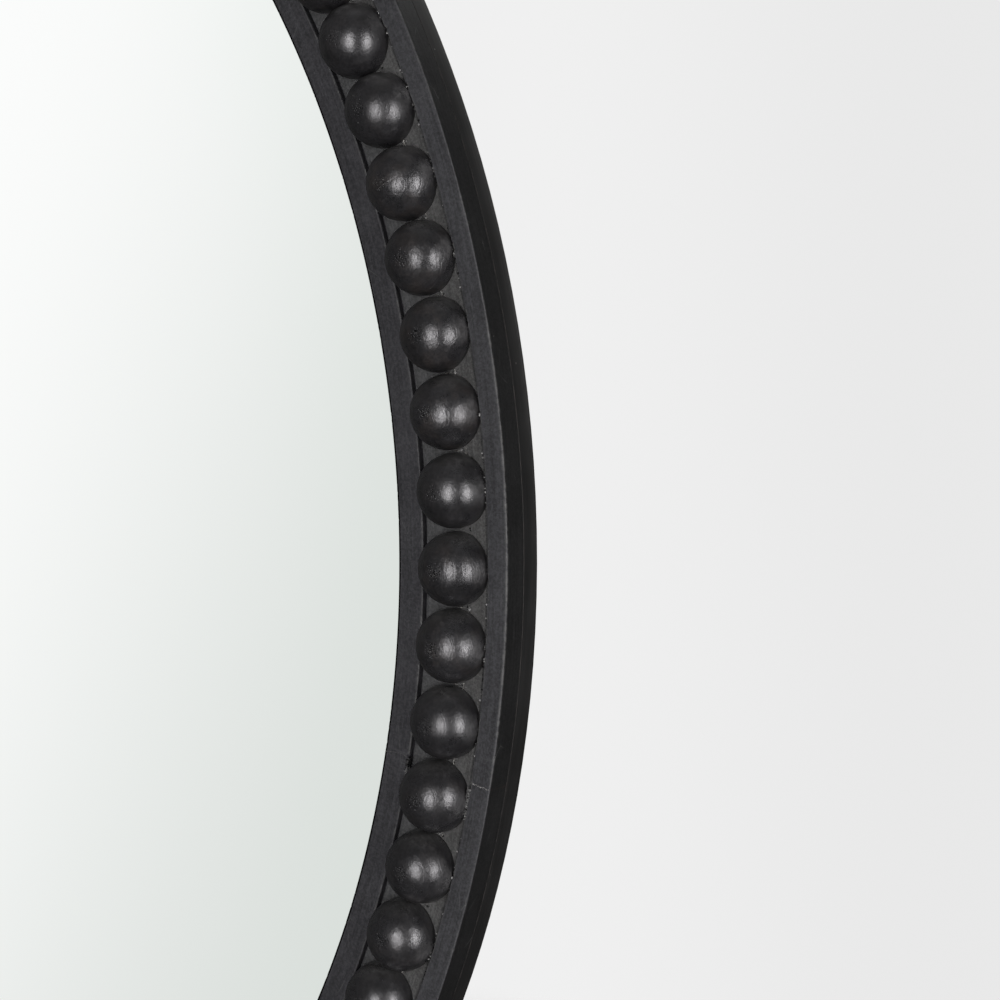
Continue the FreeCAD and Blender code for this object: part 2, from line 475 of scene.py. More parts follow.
@dataclass(frozen=True)
class FramePaint(Finish):
    """Matt black paint on the front layer, dusty in the groove and worn on the arrises."""

    name: str = "matt_black_frame_paint"
    inner_tone: Tone = (0.0335, 0.0325, 0.036)
    lip_tone: Tone = (0.0355, 0.035, 0.0381)
    floor_tone: Tone = (0.0565, 0.0562, 0.0575)
    far_floor_tone: Tone = (0.0655, 0.064, 0.0635)
    corner_shade_tone: Tone = (0.022, 0.0216, 0.022)
    shaded_side_tone: Tone = (0.0092, 0.009, 0.0092)
    shaded_tone: Tone = (0.0015, 0.0015, 0.0015)
    worn_tone: Tone = (0.1, 0.098, 0.096)
    scratch_tone: Tone = (0.085, 0.085, 0.085)
    speck_tone: Tone = (0.07, 0.069, 0.066)
    joint_tone: Tone = (0.0145, 0.0122, 0.0112)
    inner_radius: float = 0.418
    far_floor: Span = (0.43, 0.438)
    corner: Span = (0.4451, 0.4463, 0.0, 0.8)
    shade_share: Span = (0.1, 0.4)
    streaks: Streaks = Streaks(1500.0, 28.0)
    streak_light: Span = (0.25, 0.75, 0.76, 1.24)
    clouds: Noise = Noise(45.0, 3.0, 0.6)
    cloud_light: Span = (0.3, 0.7, -0.08, 0.08)
    dust: Noise = Noise(1100.0, 3.0, 0.75)
    dust_light: Span = (0.4, 0.62, -0.24, 0.32)
    dust_share: Span = (0.0, 1.0, 0.95, 1.0)
    hair_scale: float = 95.0
    hair_slant: float = 0.42
    hair_width: float = 0.006
    hair_patches: Noise = Noise(70.0, levels=(0.56, 0.66, 0.0, 0.55))
    specks: Specks = Specks(170.0, 0.06)
    patches: Noise = Noise(420.0, 3.0, 0.7, (0.36, 0.62))
    joint_reach: Span = (0.000275, 0.00055, 1.0, 0.0)
    relief_depth: float = 0.00004
    roughness: Span = (0.3, 0.7, 0.45, 0.57)
    side_shine: Span = (0.0, 1.0, 0.3, 0.16)
    shaded_shine: Span = (0.0, 1.0, 1.0, 0.1)

    def build(self, shade: Shade) -> None:
        """Set up the material's nodes.

        Args:
            shade: the material to set up.
        """
        floor, side = shade.mask("groove_floor"), shade.mask("outer_side")
        shaded = shade.mask("shaded").span(*self.shade_share)
        radius = shade.radius()
        streaks = shade.round_the_ring(self.streaks)
        clouds, dust = shade.grain(self.clouds), shade.grain(self.dust)

        tone = shade.blend(radius > self.inner_radius, self.inner_tone, self.lip_tone)
        floor_tone = shade.blend(radius.span(*self.far_floor), self.floor_tone, self.far_floor_tone)
        # painted shade: the groove's floor darker in its outer corner, under the outer lip
        floor_tone = shade.blend(radius.span(*self.corner), floor_tone, self.corner_shade_tone)
        tone = shade.blend(floor, tone, floor_tone)
        # painted shade: the outer side is a darker copy of the lips' paint
        tone = shade.blend(side, tone, self.shaded_side_tone)
        light = streaks.span(*self.streak_light) + clouds.span(*self.cloud_light)
        light += dust.span(*self.dust_light) * floor.span(*self.dust_share)
        tone = shade.tinted(tone, light)

        x, y, z = shade.place().parts()
        slanting = shade.joined(x, y, z * self.hair_slant)
        hairs = shade.cells(self.hair_scale, slanting, "DISTANCE_TO_EDGE") < self.hair_width
        hairs *= shade.grain(self.hair_patches)
        patchy = shade.grain(self.patches)
        joint = shade.from_crack().span(*self.joint_reach) * side * patchy
        tone = shade.blend(hairs, tone, self.scratch_tone)
        tone = shade.blend(shade.specks(self.specks) * side, tone, self.speck_tone)
        tone = shade.blend(joint, tone, self.joint_tone)
        # wear on the arrises; on the rim it is also a painted highlight
        tone = shade.blend(shade.mask("wear") * patchy, tone, self.worn_tone)
        tone = shade.blend(shaded, tone, self.shaded_tone)

        shine = side.span(*self.side_shine) * shaded.span(*self.shaded_shine)
        normal = shade.relief((streaks, self.relief_depth), (dust, self.relief_depth))
        shade.set(Base_Color=tone, Roughness=clouds.span(*self.roughness), Specular_IOR_Level=shine,
                  Normal=normal)


@dataclass(frozen=True)
class BackPaint(Finish):
    """Thin matt black paint on the back layer, through which the wood's grain shows."""

    name: str = "thin_black_back_paint"
    shaded_side_tone: Tone = (0.0105, 0.0101, 0.0101)
    back_tone: Tone = (0.024, 0.0225, 0.0215)
    # painted light on the side near the back edge
    edge_tone: Tone = (0.027, 0.0262, 0.026)
    seam_tone: Tone = (0.03, 0.0255, 0.0245)
    speck_tone: Tone = (0.07, 0.069, 0.066)
    side_radius: Span = (0.4565, 0.4568)
    lit_edge_depth: Span = (-0.012, -0.0045)
    lit_edge_height: Span = (-0.09, 0.1, 0.1, 1.0)
    streaks: Streaks = Streaks(1100.0, 22.0)
    streak_light: Span = (0.25, 0.75, 0.75, 1.3)
    clouds: Noise = Noise(38.0, 3.0, 0.6)
    cloud_light: Span = (0.3, 0.7, -0.15, 0.15)
    seam_reach: Span = (0.0001, 0.00045, 1.0, 0.0)
    seam_patches: Noise = Noise(330.0, 3.0, 0.75, (0.45, 0.62, 0.15, 1.0))
    specks: Specks = Specks(150.0, 0.055)
    relief_depth: float = 0.00006
    roughness: Span = (0.3, 0.7, 0.5, 0.62)
    specular_level: float = 0.18

    def build(self, shade: Shade) -> None:
        """Set up the material's nodes.

        Args:
            shade: the material to set up.
        """
        _, depth, height = shade.place().parts()
        streaks = shade.round_the_ring(self.streaks)
        clouds = shade.grain(self.clouds)
        side = shade.radius().span(*self.side_radius)
        # painted light: the side grows lighter towards the back edge, most near the top
        edge = depth.span(*self.lit_edge_depth) * height.span(*self.lit_edge_height)
        # painted shade: the side is a darker copy of the back layer's paint
        tone = shade.blend(side, self.back_tone, shade.blend(edge, self.shaded_side_tone, self.edge_tone))
        tone = shade.tinted(tone, streaks.span(*self.streak_light) + clouds.span(*self.cloud_light))
        seam = abs(depth - SEAM_DEPTH).span(*self.seam_reach)
        seam *= shade.grain(self.seam_patches)
        tone = shade.blend(seam, tone, self.seam_tone)
        tone = shade.blend(shade.specks(self.specks) * side, tone, self.speck_tone)
        shade.set(Base_Color=tone, Roughness=clouds.span(*self.roughness),
                  Specular_IOR_Level=self.specular_level, Normal=shade.relief((streaks, self.relief_depth)))


@dataclass(frozen=True)
class BeadPaint(Finish):
    """Satin black paint on turned beads, with the lathe's rings and torn end grain under it."""

    name: str = "satin_black_bead_paint"
    tone: Tone = (0.0122, 0.0118, 0.0128)
    brown_tone: Tone = (0.0175, 0.015, 0.0145)
    pit_shade_tone: Tone = (0.004, 0.004, 0.0045)
    dust_tone: Tone = (0.07, 0.068, 0.067)
    painted_sheen_tone: Tone = (0.046, 0.0445, 0.0455)
    painted_top_light_tone: Tone = (0.038, 0.037, 0.0365)
    glint_tone: Tone = (0.11, 0.108, 0.107)
    tint: Tone = (1.0, 0.975, 1.0)
    specular_level: float = 0.72
    clouds: Noise = Noise(110.0, 3.0, 0.6)
    brown_share: Span = (0.42, 0.7)
    own_brown: Span = (0.2, 1.0, 0.25, 1.0)
    sheen_patches: Noise = Noise(330.0, 3.0, levels=(0.3, 0.55, 0.3, 1.0))
    top_light_patches: Noise = Noise(520.0, 3.0, 0.7, (0.3, 0.6, 0.6, 1.0))
    stray: Noise = Noise(260.0, levels=(0.3, 0.7, -0.0007, 0.0007))
    rings: Noise = Noise(1.0, 2.0, 0.6)
    ring_scale: float = 1150.0
    own_rings: float = 40.0
    ring_patches: Noise = Noise(160.0, levels=(0.36, 0.56, 0.15, 1.0))
    ring_light: Span = (0.1, 0.7, 0.86, 1.2)
    ring_depth: float = 0.00016
    unevenness: Span = (0.0, 1.0, 0.5, 0.95)
    peel: Noise = Noise(760.0, 2.0, 0.55)
    peel_depth: float = 0.0001
    grit: Noise = Noise(1900.0, 2.0, 0.6)
    grit_depth: float = 0.00003
    torn_reach: Span = (0.00126, 0.0042, 1.0, 0.0)
    torn_share: Span = (0.38, 0.55)
    pit_scale: float = 1050.0
    pit_reach: Span = (0.18, 0.42, 1.0, 0.0)
    pit_depth: float = 0.0009
    pit_shine: Span = (0.0, 1.0, 1.0, 0.1)
    glints: Specks = Specks(1500.0, 0.24)
    glint_reach: Span = (0.00126, 0.00336, 1.0, 0.0)
    own_glints: Span = (0.1, 0.9, 0.4, 1.0)
    specks: Specks = Specks(240.0, 0.055)
    mottle: Noise = Noise(880.0, 3.0, 0.75, (0.36, 0.64, 0.74, 1.27))
    broad: Noise = Noise(62.0, levels=(0.35, 0.65, 0.9, 1.1))
    roughness: Span = (0.3, 0.7, 0.255, 0.335)
    grit_roughness: Span = (0.4, 0.7, 0.0, 0.06)

    def build(self, shade: Shade) -> None:
        """Set up the material's nodes.

        Args:
            shade: the material to set up.
        """
        from_pole, own = shade.mask("from_pole"), shade.mask("own_shade")
        clouds, peel, grit = (shade.grain(noise) for noise in (self.clouds, self.peel, self.grit))
        brown = clouds.span(*self.brown_share) * own.span(*self.own_brown)
        # painted sheen: each bead lighter on its outer side, towards the outer lip
        rubbed = shade.mask("rubbed") * shade.grain(self.sheen_patches)
        # painted light from above: the top of each bead lighter
        painted_top_light = shade.mask("dusty") * shade.grain(self.top_light_patches)

        centre = shade.math("MINIMUM", from_pole, shade.mask("from_knot"))
        centre += shade.grain(self.stray)
        rings = shade.grain(self.rings, shade.joined(centre * self.ring_scale, own * self.own_rings, 0.0))
        rings *= shade.grain(self.ring_patches)
        pits = shade.cells(self.pit_scale).span(*self.pit_reach)
        pits *= from_pole.span(*self.torn_reach) * peel.span(*self.torn_share)
        glints = (shade.cells(self.glints.scale) < self.glints.size) * from_pole.span(*self.glint_reach)
        glints *= own.span(*self.own_glints)

        tone = shade.blend(brown, self.tone, self.brown_tone)
        tone = shade.blend(rubbed, tone, self.painted_sheen_tone)
        tone = shade.blend(painted_top_light, tone, self.painted_top_light_tone)
        # painted shade in the pits of the torn end grain
        tone = shade.blend(pits, tone, self.pit_shade_tone)
        tone = shade.blend(glints, tone, self.glint_tone)
        tone = shade.blend(shade.specks(self.specks), tone, self.dust_tone)
        light = rings.span(*self.ring_light) * shade.grain(self.mottle)
        light *= shade.grain(self.broad)

        uneven = own.span(*self.unevenness)
        normal = shade.relief((rings * uneven, self.ring_depth), (peel * uneven, self.peel_depth),
                              (grit, self.grit_depth), (1.0 - pits, self.pit_depth))
        shade.set(Base_Color=shade.tinted(tone, light), Specular_Tint=self.tint, Normal=normal,
                  Roughness=clouds.span(*self.roughness) + grit.span(*self.grit_roughness),
                  Specular_IOR_Level=pits.span(*self.pit_shine) * self.specular_level)


@dataclass(frozen=True)
class DriedGlue(Finish):
    """Dried glue with dust in it, squeezed out between the beads."""

    name: str = "dried_glue"
    tone: Tone = (0.06, 0.057, 0.054)
    pale_tone: Tone = (0.27, 0.26, 0.245)
    lumps: Noise = Noise(900.0, 3.0, 0.7)
    pale_share: Span = (0.46, 0.66)
    relief_depth: float = 0.00012
    roughness: float = 0.42

    def build(self, shade: Shade) -> None:
        """Set up the material's nodes.

        Args:
            shade: the material to set up.
        """
        lumps = shade.grain(self.lumps)
        tone = shade.blend(lumps.span(*self.pale_share), self.tone, self.pale_tone)
        shade.set(Base_Color=tone, Roughness=self.roughness, Normal=shade.relief((lumps, self.relief_depth)))


@dataclass(frozen=True)
class CrackedPaint(Finish):
    """Paint that has cracked over a joint and shows the pale wood and filler under it."""

    name: str = "cracked_paint"
    dark_tone: Tone = (0.05, 0.048, 0.047)
    pale_tone: Tone = (0.26, 0.25, 0.245)
    flakes: Noise = Noise(800.0, 3.0, 0.75)
    pale_share: Span = (0.42, 0.62)
    relief_depth: float = 0.0001
    roughness: float = 0.6

    def build(self, shade: Shade) -> None:
        """Set up the material's nodes.

        Args:
            shade: the material to set up.
        """
        flakes = shade.grain(self.flakes)
        bared = flakes.span(*self.pale_share) * shade.mask("bared")
        shade.set(Base_Color=shade.blend(bared, self.dark_tone, self.pale_tone), Roughness=self.roughness,
                  Normal=shade.relief((flakes, self.relief_depth)))


@dataclass(frozen=True)
class CrumbPaint(Finish):
    """Crumbs of paint and filler, some pale; the near-black ones are painted shade in chips and notches."""

    name: str = "paint_crumbs"
    # painted shade: near black, for the shadowed chips and notches
    dark_tone: Tone = (0.004, 0.004, 0.004)
    pale_tone: Tone = (0.25, 0.245, 0.245)
    pale_share: Span = (0.45, 1.0)
    bumps: Noise = Noise(2500.0)
    relief_depth: float = 0.0001
    roughness: float = 0.5
    specular_level: float = 0.2

    def build(self, shade: Shade) -> None:
        """Set up the material's nodes.

        Args:
            shade: the material to set up.
        """
        pale = shade.mask("own_shade").span(*self.pale_share)
        shade.set(Base_Color=shade.blend(pale, self.dark_tone, self.pale_tone), Roughness=self.roughness,
                  Specular_IOR_Level=self.specular_level,
                  Normal=shade.relief((shade.grain(self.bumps), self.relief_depth)))


@dataclass(frozen=True)
class SilveredGlass(Finish):
    """Silvered plate glass: slightly green, and not quite flat."""

    name: str = "silvered_glass"
    tone: Tone = (0.975, 0.985, 0.978)
    edge_tone: Tone = (0.955, 0.978, 0.962)
    edge_radius: Span = (0.32, 0.406)
    clouds: Noise = Noise(9.0, levels=(0.3, 0.7, 0.55, 1.0))
    ripple: Noise = Noise(14.0, 1.0)
    ripple_depth: float = 0.0000009

    def build(self, shade: Shade) -> None:
        """Set up the material's nodes.

        Args:
            shade: the material to set up.
        """
        near_edge = shade.radius().span(*self.edge_radius) * shade.grain(self.clouds)
        shade.set(Base_Color=shade.blend(near_edge, self.tone, self.edge_tone), Metallic=1.0, Roughness=0.0,
                  Normal=shade.relief((shade.grain(self.ripple), self.ripple_depth)))


@dataclass(frozen=True)
class Hardboard(Finish):
    """Bare brown hardboard: pressed fibres, darker flecks and a faint sheen."""

    name: str = "bare_hardboard"
    tone: Tone = (0.27, 0.172, 0.098)
    dark_tone: Tone = (0.16, 0.097, 0.055)
    pale_tone: Tone = (0.36, 0.25, 0.155)
    fibres: Noise = Noise(420.0, 4.0, 0.75)
    fibre_share: Span = (0.48, 0.72, 0.0, 0.7)
    fibre_depth: float = 0.00008
    stretch: float = 0.35
    clouds: Noise = Noise(9.0, 5.0, 0.65)
    cloud_light: Span = (0.25, 0.75, 0.95, 1.05)
    flecks: Noise = Noise(210.0, 3.0, 0.6, (0.6, 0.68))
    fleck_strength: float = 0.7
    roughness: Span = (0.3, 0.7, 0.5, 0.66)

    def build(self, shade: Shade) -> None:
        """Set up the material's nodes.

        Args:
            shade: the material to set up.
        """
        x, y, z = shade.place().parts()
        fibres = shade.grain(self.fibres, shade.joined(x, y, z * self.stretch))
        clouds = shade.grain(self.clouds)
        flecks = shade.grain(self.flecks) * self.fleck_strength
        tone = shade.tinted(self.tone, clouds.span(*self.cloud_light))
        tone = shade.blend(fibres.span(*self.fibre_share), tone, self.pale_tone)
        tone = shade.blend(flecks, tone, self.dark_tone)
        shade.set(Base_Color=tone, Roughness=clouds.span(*self.roughness),
                  Normal=shade.relief((fibres, self.fibre_depth)))


@dataclass(frozen=True)
class PackingBoard(Finish):
    """Plain brown corrugated board, its flutes showing faintly."""

    name: str = "brown_packing_board"
    tone: Tone = (0.42, 0.29, 0.17)
    dark_tone: Tone = (0.3, 0.2, 0.115)
    fibres: Noise = Noise(500.0, 4.0, 0.7, (0.35, 0.7))
    flute_scale: float = 150.0
    flute_depth: float = 0.00015
    roughness: float = 0.85

    def build(self, shade: Shade) -> None:
        """Set up the material's nodes.

        Args:
            shade: the material to set up.
        """
        x, _, _ = shade.place().parts()
        flutes = shade.math("SINE", x * (self.flute_scale * math.tau)).span(-1.0, 1.0)
        tone = shade.blend(shade.grain(self.fibres), self.dark_tone, self.tone)
        shade.set(Base_Color=tone, Roughness=self.roughness, Normal=shade.relief((flutes, self.flute_depth)))


class Plating(Enum):
    """How the zinc on a steel piece has been treated."""

    BRIGHT = "bright_zinc"
    YELLOW = "yellow_zinc"


@dataclass(frozen=True)
class ZincSteel(Finish):
    """Zinc-plated steel with rub marks and small dull spots."""

    plating: Plating = Plating.BRIGHT
    bright_tone: Tone = (0.68, 0.69, 0.71)
    yellow_tone: Tone = (0.84, 0.71, 0.42)
    dull_share: float = 0.75
    clouds: Noise = Noise(260.0, 4.0, 0.65)
    cloud_share: Span = (0.35, 0.68)
    rubs: Noise = Noise(2600.0, 3.0, 0.65)
    stretch: float = 0.12
    rub_depth: float = 0.000012
    metal: float = 0.75
    roughness: Span = (0.3, 0.7, 0.48, 0.36)
    rub_roughness: Span = (0.4, 0.7, 0.0, 0.08)

    @property
    def name(self) -> str:
        """The material's name."""
        return self.plating.value

    def build(self, shade: Shade) -> None:
        """Set up the material's nodes.

        Args:
            shade: the material to set up.
        """
        base = self.bright_tone if self.plating is Plating.BRIGHT else self.yellow_tone
        dull = tuple(part * self.dull_share for part in base)
        x, y, z = shade.place().parts()
        rubbed = shade.grain(self.rubs, shade.joined(x, y, z * self.stretch))
        clouds = shade.grain(self.clouds)
        shade.set(Base_Color=shade.blend(clouds.span(*self.cloud_share), dull, base), Metallic=self.metal,
                  Roughness=clouds.span(*self.roughness) + rubbed.span(*self.rub_roughness),
                  Normal=shade.relief((rubbed, self.rub_depth)))


@dataclass(frozen=True)
class BumperRubber(Finish):
    """Soft dark rubber, a little dusty."""

    name: str = "bumper_rubber"
    tone: Tone = (0.028, 0.028, 0.029)
    dust_tone: Tone = (0.085, 0.083, 0.08)
    dust: Noise = Noise(1500.0, 3.0, 0.7)
    dust_share: Span = (0.5, 0.75)
    patches: Noise = Noise(300.0, 3.0, 0.6, (0.4, 0.7))
    relief_depth: float = 0.00003
    roughness: float = 0.62

    def build(self, shade: Shade) -> None:
        """Set up the material's nodes.

        Args:
            shade: the material to set up.
        """
        dust = shade.grain(self.dust)
        dusty = dust.span(*self.dust_share) * shade.grain(self.patches)
        shade.set(Base_Color=shade.blend(dusty, self.tone, self.dust_tone), Roughness=self.roughness,
                  Normal=shade.relief((dust, self.relief_depth)))


@dataclass
class BeadRow:
    """The closed row of half-round turned beads."""

    count: int = 92
    per_set: int = 4
    first_angle: float = -0.3
    ring_radius: float = 0.4331
    radius: float = 0.01455
    centre_depth: float = -0.0245
    rings: int = 30
    sectors: int = 56
    least_scale: float = 0.992
    wobble: float = 0.00016
    lobes: int = 5
    lobe_height: Span = (0.1, 0.3)
    pole_reach: float = 0.0019
    pole_pit: float = 0.00016
    torn: Span = (-1.0, 0.35)
    most_dents: int = 2
    dent_depth: float = 0.00016
    dent_tilt: Span = (0.25, 1.0)
    dent_width: Span = (0.06, 0.13)
    dent_strength: Span = (0.3, 1.0)
    slack_out: Span = (-0.0003, 0.00025)
    slack_along: float = 0.00012
    knot_chance: float = 0.3
    knot_tilt: Span = (0.7, 1.1)
    sheen_out: Span = (0.83, 0.96)
    sheen_width: float = 0.34
    top_light_height: Span = (0.6, 0.92)
    top_light_power: float = 1.3
    seed: int = 41

    @property
    def pitch(self) -> float:
        """The angle from one bead to the next."""
        return FULL_TURN / self.count

    def angles(self) -> list[float]:
        """The polar angle of each bead."""
        return [self.first_angle + self.pitch * index for index in range(self.count)]

    def knot(self, draw: Draw, points: np.ndarray) -> np.ndarray:
        """How far each point of a bead is from a knot in its wood.

        Args:
            draw: the row's source of random numbers.
            points: the bead's points from its centre.

        Returns:
            The distances, or large ones where the bead has no knot.
        """
        turn, tilt = draw.uniform(0.0, math.tau), draw.uniform(*self.knot_tilt)
        if draw.rand() > self.knot_chance:
            return np.full(len(points), 1.0)
        out = math.sin(tilt)
        middle = self.radius * np.array([math.cos(turn) * out, -math.cos(tilt), math.sin(turn) * out])
        return np.linalg.norm(points - middle, axis=1)

    def bead(self, draw: Draw, angle: float) -> tuple[np.ndarray, dict[str, Reading]]:
        """One bead, turned about an axis that faces the front.

        Args:
            draw: the row's source of random numbers.
            angle: the bead's polar angle.

        Returns:
            Its points, and the numbers that its finish reads: each point's distance from the pole and
            from a knot, how much painted sheen its outer side takes, how much lighter its top is painted
            as if lit from above, and the bead's own shade.
        """
        seat_depth = FLOOR_DEPTH - self.centre_depth
        last = math.pi / 2 + math.asin(seat_depth / self.radius)
        tilts, turns = np.meshgrid(np.linspace(0.0, last, self.rings + 1)[1:],
                                   np.linspace(0.0, math.tau, self.sectors, endpoint=False), indexing="ij")
        reach = self.radius * draw.uniform(self.least_scale, 1.0)
        distance = np.full_like(tilts, reach - self.wobble)
        for lobes in range(1, self.lobes + 1):
            phase, height = draw.uniform(0.0, math.tau), draw.uniform(*self.lobe_height)
            distance += self.wobble * height * np.sin(lobes * turns + phase) * np.sin(tilts) ** lobes
        near_pole = np.clip(1.0 - tilts * reach / self.pole_reach, 0.0, 1.0)
        distance += self.pole_pit * near_pole * draw.uniform(*self.torn, tilts.shape)
        for _ in range(draw.randint(0, self.most_dents + 1)):
            tilt, turn = draw.uniform(*self.dent_tilt), draw.uniform(0.0, math.tau)
            width = draw.uniform(*self.dent_width)
            gap = np.hypot(tilts - tilt, np.sin(tilt) * from_nearest(turns, turn, math.tau)) / width
            distance -= self.dent_depth * draw.uniform(*self.dent_strength) * np.exp(-(gap ** 2))

        out, forward = distance * np.sin(tilts), np.minimum(-distance * np.cos(tilts), seat_depth)
        forward[-1] = seat_depth
        turned = np.stack([out * np.cos(turns), forward, out * np.sin(turns)], axis=-1).reshape(-1, 3)
        pole = (0.0, self.wobble + self.pole_pit / 2 - reach, 0.0)
        points = np.concatenate([[pole], turned, [(0.0, seat_depth, 0.0)]])

        angle += math.degrees(draw.uniform(-self.slack_along, self.slack_along) / self.ring_radius)
        middle = on_ring(self.ring_radius + draw.uniform(*self.slack_out), angle, self.centre_depth)
        headings = (angle, angle + QUARTER_TURN)
        outwards, along = (points @ on_ring(1.0, heading, 0.0) / reach for heading in headings)
        # painted sheen on the bead's outer side, towards the outer lip
        rubbed = np.interp(outwards, self.sheen_out, (0.0, 1.0))
        masks = {
            "from_pole": np.concatenate([[0.0], tilts.reshape(-1) * reach, [last * reach]]),
            "from_knot": self.knot(draw, points),
            "rubbed": rubbed * np.exp(-((along / self.sheen_width) ** 2)),
            # painted light from above: how much lighter the bead's top is painted
            "dusty": np.interp(points[:, 2] / reach, self.top_light_height, (0.0, 1.0)) ** self.top_light_power,
            "own_shade": draw.rand(),
        }
        return points + middle, masks

    def faces(self) -> Faces:
        """Join the points of a bead, of which the first is its pole and the last its seat's middle.

        Returns:
            The faces.
        """
        made: Faces = []
        for sector in range(self.sectors):
            near, far = sector + 1, (sector + 1) % self.sectors + 1
            made.append((0, near, far))
            for _ in range(self.rings - 1):
                made.append((near, near + self.sectors, far + self.sectors, far))
                near, far = near + self.sectors, far + self.sectors
            made.append((far, near, 1 + self.rings * self.sectors))
        return made

    def build(self) -> None:
        """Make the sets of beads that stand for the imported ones."""
        draw = Draw(self.seed)
        finish, faces, angles = BeadPaint(), self.faces(), self.angles()
        for first in range(0, self.count, self.per_set):
            beads = Parts()
            for angle in angles[first:first + self.per_set]:
                points, masks = self.bead(draw, angle)
                beads.add(points, faces, **masks)
            label = f"beads_{first // self.per_set + 1:02d}"
            mount(beads.piece(f"turned_{label}"), finish, label)


class Damage(NamedTuple):
    """What has happened to an edge: its wear, its deepest chip and how much of it stays whole."""

    wear: float
    chip: float
    whole: float


class Arris(Enum):
    """The long edges of the front layer, from the glass outwards."""

    SIGHT = Damage(0.0, 0.0003, 0.45)
    GROOVE_INNER = Damage(0.6, 0.0006, 0.5)
    GROOVE_OUTER = Damage(0.35, 0.0006, 0.5)
    RIM = Damage(0.5, 0.00025, 0.42)


@dataclass(frozen=True)
class ProfilePoint:
    """One point of the front layer's cross-section."""

    radius: float
    depth: float
    arris: Optional[Arris] = None
    lean: tuple[float, float] = (0.0, 0.0)
    groove_floor: float = 0.0
    outer_side: float = 0.0
    shaded: float = 0.0


